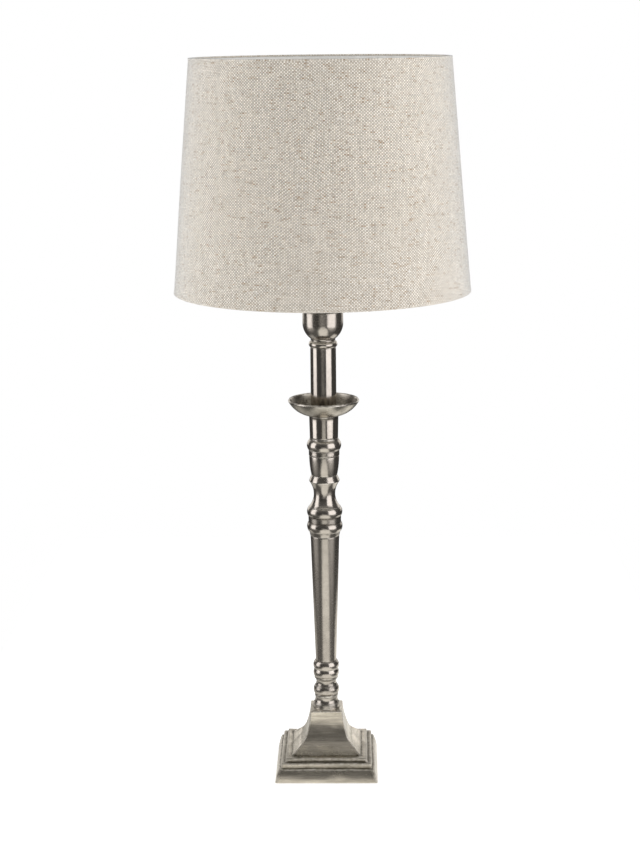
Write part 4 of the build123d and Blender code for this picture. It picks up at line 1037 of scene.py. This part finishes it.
def sweep_of_paper():
    """A white paper strip under and before the lamp."""
    bpy.ops.object.select_all(action="DESELECT")
    bpy.ops.mesh.primitive_plane_add(size=1, location=(0, -0.75, 0))
    paper = bpy.context.object
    paper.name = "paper_floor"
    paper.scale = (0.84, 3.3, 1)
    settle(paper)
    made, tree, out = stage_material("white paper")
    ray = add(tree, "LightPath").outputs
    diffuse = add(tree, "BsdfDiffuse", {"Color": (0.82, 0.82, 0.82, 1)})
    seen = add(tree, "Emission", {"Color": WHITE, "Strength": 0.52})
    both = add(tree, "AddShader", {0: diffuse.outputs[0], 1: seen.outputs[0]})
    place = add(tree, "TexCoord").outputs["Object"]
    parts = add(tree, "SeparateXYZ", {0: place}).outputs
    away = add(tree, "VectorMath", {0: place}, operation="LENGTH").outputs["Value"]
    # what the metal sees: a bright strip before the lamp that fades towards its front end and its sides
    glow = spread(tree, parts[1], -2.05, -1.15, 0.05, 0.78)
    glow = sum_up(tree, "ADD", glow, spread(tree, parts[1], -1.1, -0.45, 0.0, 0.22))
    half = sum_up(tree, "MINIMUM", sum_up(tree, "MULTIPLY_ADD", parts[1], -0.42, 0.09), 0.31)
    beside = sum_up(tree, "ABSOLUTE", sum_up(tree, "SUBTRACT", parts[0], 0.02))
    beside = sum_up(tree, "SUBTRACT", beside, half)
    glow = sum_up(tree, "MULTIPLY", glow, spread(tree, beside, 0.05, -0.05, 0.12, 1.0))
    # bright round the base, and behind it, most on the right
    glow = sum_up(tree, "MAXIMUM", glow, spread(tree, away, 0.20, 0.14, 0.0, 0.7))
    rear = sum_up(tree, "MULTIPLY", spread(tree, parts[1], 0.05, 0.12), spread(tree, parts[1], 0.6, 0.4))
    rear = sum_up(tree, "MULTIPLY", rear, spread(tree, parts[0], -0.1, 0.1, 0.5, 0.95))
    glow = sum_up(tree, "MAXIMUM", glow, rear)
    mirrored = add(tree, "Emission", {"Color": (1, 0.98, 0.93, 1), "Strength": glow})
    eye = add(tree, "MixShader", {0: ray["Is Glossy Ray"], 1: both.outputs[0], 2: mirrored.outputs[0]})
    # from below, the paper is clear
    clear = add(tree, "BsdfTransparent")
    back = add(tree, "NewGeometry").outputs["Backfacing"]
    shown = add(tree, "MixShader", {0: back, 1: eye.outputs[0], 2: clear.outputs[0]})
    tree.links.new(shown.outputs[0], out.inputs["Surface"])
    coat(paper, made)
    return paper


def dark_flags():
    """Dark cloths round the set, which only the metal sees."""
    bpy.ops.object.select_all(action="DESELECT")
    bpy.ops.mesh.primitive_cylinder_add(vertices=64, radius=2.9, depth=3.2, location=(0, 0, 1.57))
    tent = bpy.context.object
    tent.name = "dark_flags"
    settle(tent)
    tent.visible_camera = False
    tent.visible_diffuse = False
    tent.visible_transmission = False
    tent.visible_shadow = False
    made, tree, out = stage_material("dark cloth")
    whole = add(tree, "TexCoord").outputs["Object"]
    place = add(tree, "SeparateXYZ", {0: whole}).outputs
    wall = spread(tree, place[2], 0.9, 1.6, 0.06, 0.10)
    roof = spread(tree, place[2], 2.9, 3.1, 0.0, 0.12)
    behind = sum_up(tree, "MULTIPLY", spread(tree, place[1], 1.6, 2.3), spread(tree, place[2], 1.6, 1.3))
    behind = sum_up(tree, "MULTIPLY", behind, spread(tree, place[2], 0.0, 0.05, 0.0, 1.0))
    near_floor = spread(tree, place[2], 0.45, 0.02)
    ahead = sum_up(tree, "MULTIPLY", spread(tree, place[1], -1.6, -2.3), near_floor)
    ahead = sum_up(tree, "MULTIPLY", ahead, spread(tree, place[2], 0.0, 0.03))
    ahead = sum_up(tree, "MULTIPLY", ahead, spread(tree, place[0], -0.5, 0.5, 0.72, 0.36))
    ahead = sum_up(tree, "MULTIPLY", ahead, spread(tree, sum_up(tree, "ABSOLUTE", place[0]), 1.1, 0.6))
    glow = sum_up(tree, "ADD", sum_up(tree, "ADD", wall, roof), sum_up(tree, "ADD", behind, ahead))
    # a little light spills from the foot of either box
    for foot_of_box, strength in (((-1.05, -0.2, 0), 0.38), ((0.85, -0.62, 0), 0.46)):
        away = add(tree, "VectorMath", {0: whole, 1: foot_of_box}, operation="DISTANCE").outputs["Value"]
        glow = sum_up(tree, "ADD", glow, spread(tree, away, 0.75, 0.1, 0.0, strength))
    dim = add(tree, "Emission", {"Color": (1, 0.97, 0.94, 1), "Strength": glow})
    tree.links.new(dim.outputs[0], out.inputs["Surface"])
    coat(tent, made)
    return tent


sweep_of_paper()
dark_flags()

world = bpy.data.worlds.new("studio")
bpy.context.scene.world = world
world.use_nodes = True
sky = world.node_tree
sky.nodes.clear()
path = add(sky, "LightPath").outputs
seen = sum_up(sky, "MAXIMUM", path["Is Camera Ray"], path["Is Glossy Ray"])
seen = sum_up(sky, "MAXIMUM", seen, path["Is Transmission Ray"])
# white to the eye and in the metal, half as bright as light on the cloth
level = spread(sky, seen, 0.0, 1.0, 0.5, 1.0, "LINEAR")
backdrop = add(sky, "Background", {"Color": WHITE, "Strength": level})
sky.links.new(backdrop.outputs[0], add(sky, "OutputWorld").inputs["Surface"])

# ---------------------------------------------------------------- camera

# in degrees: how far the camera goes round the lamp, looks down and leans over
heading, tilt, roll = 1.2, 12.23, -0.59
camera_place = (-0.004, -1.888, 0.7814)
camera = bpy.data.cameras.new("studio camera")
camera.lens = 78.75
camera.sensor_width = 36
camera_stand = bpy.data.objects.new("studio camera", camera)
bpy.context.scene.collection.objects.link(camera_stand)
camera_stand.matrix_world = (
    Matrix.Rotation(math.radians(heading), 4, "Z")
    @ Matrix.Translation(camera_place)
    @ Matrix.Rotation(math.radians(90 - tilt), 4, "X")
    @ Matrix.Rotation(math.radians(roll), 4, "Z")
)
bpy.context.scene.camera = camera_stand
bpy.context.scene.view_settings.view_transform = "Standard"

bpy.context.view_layer.update()
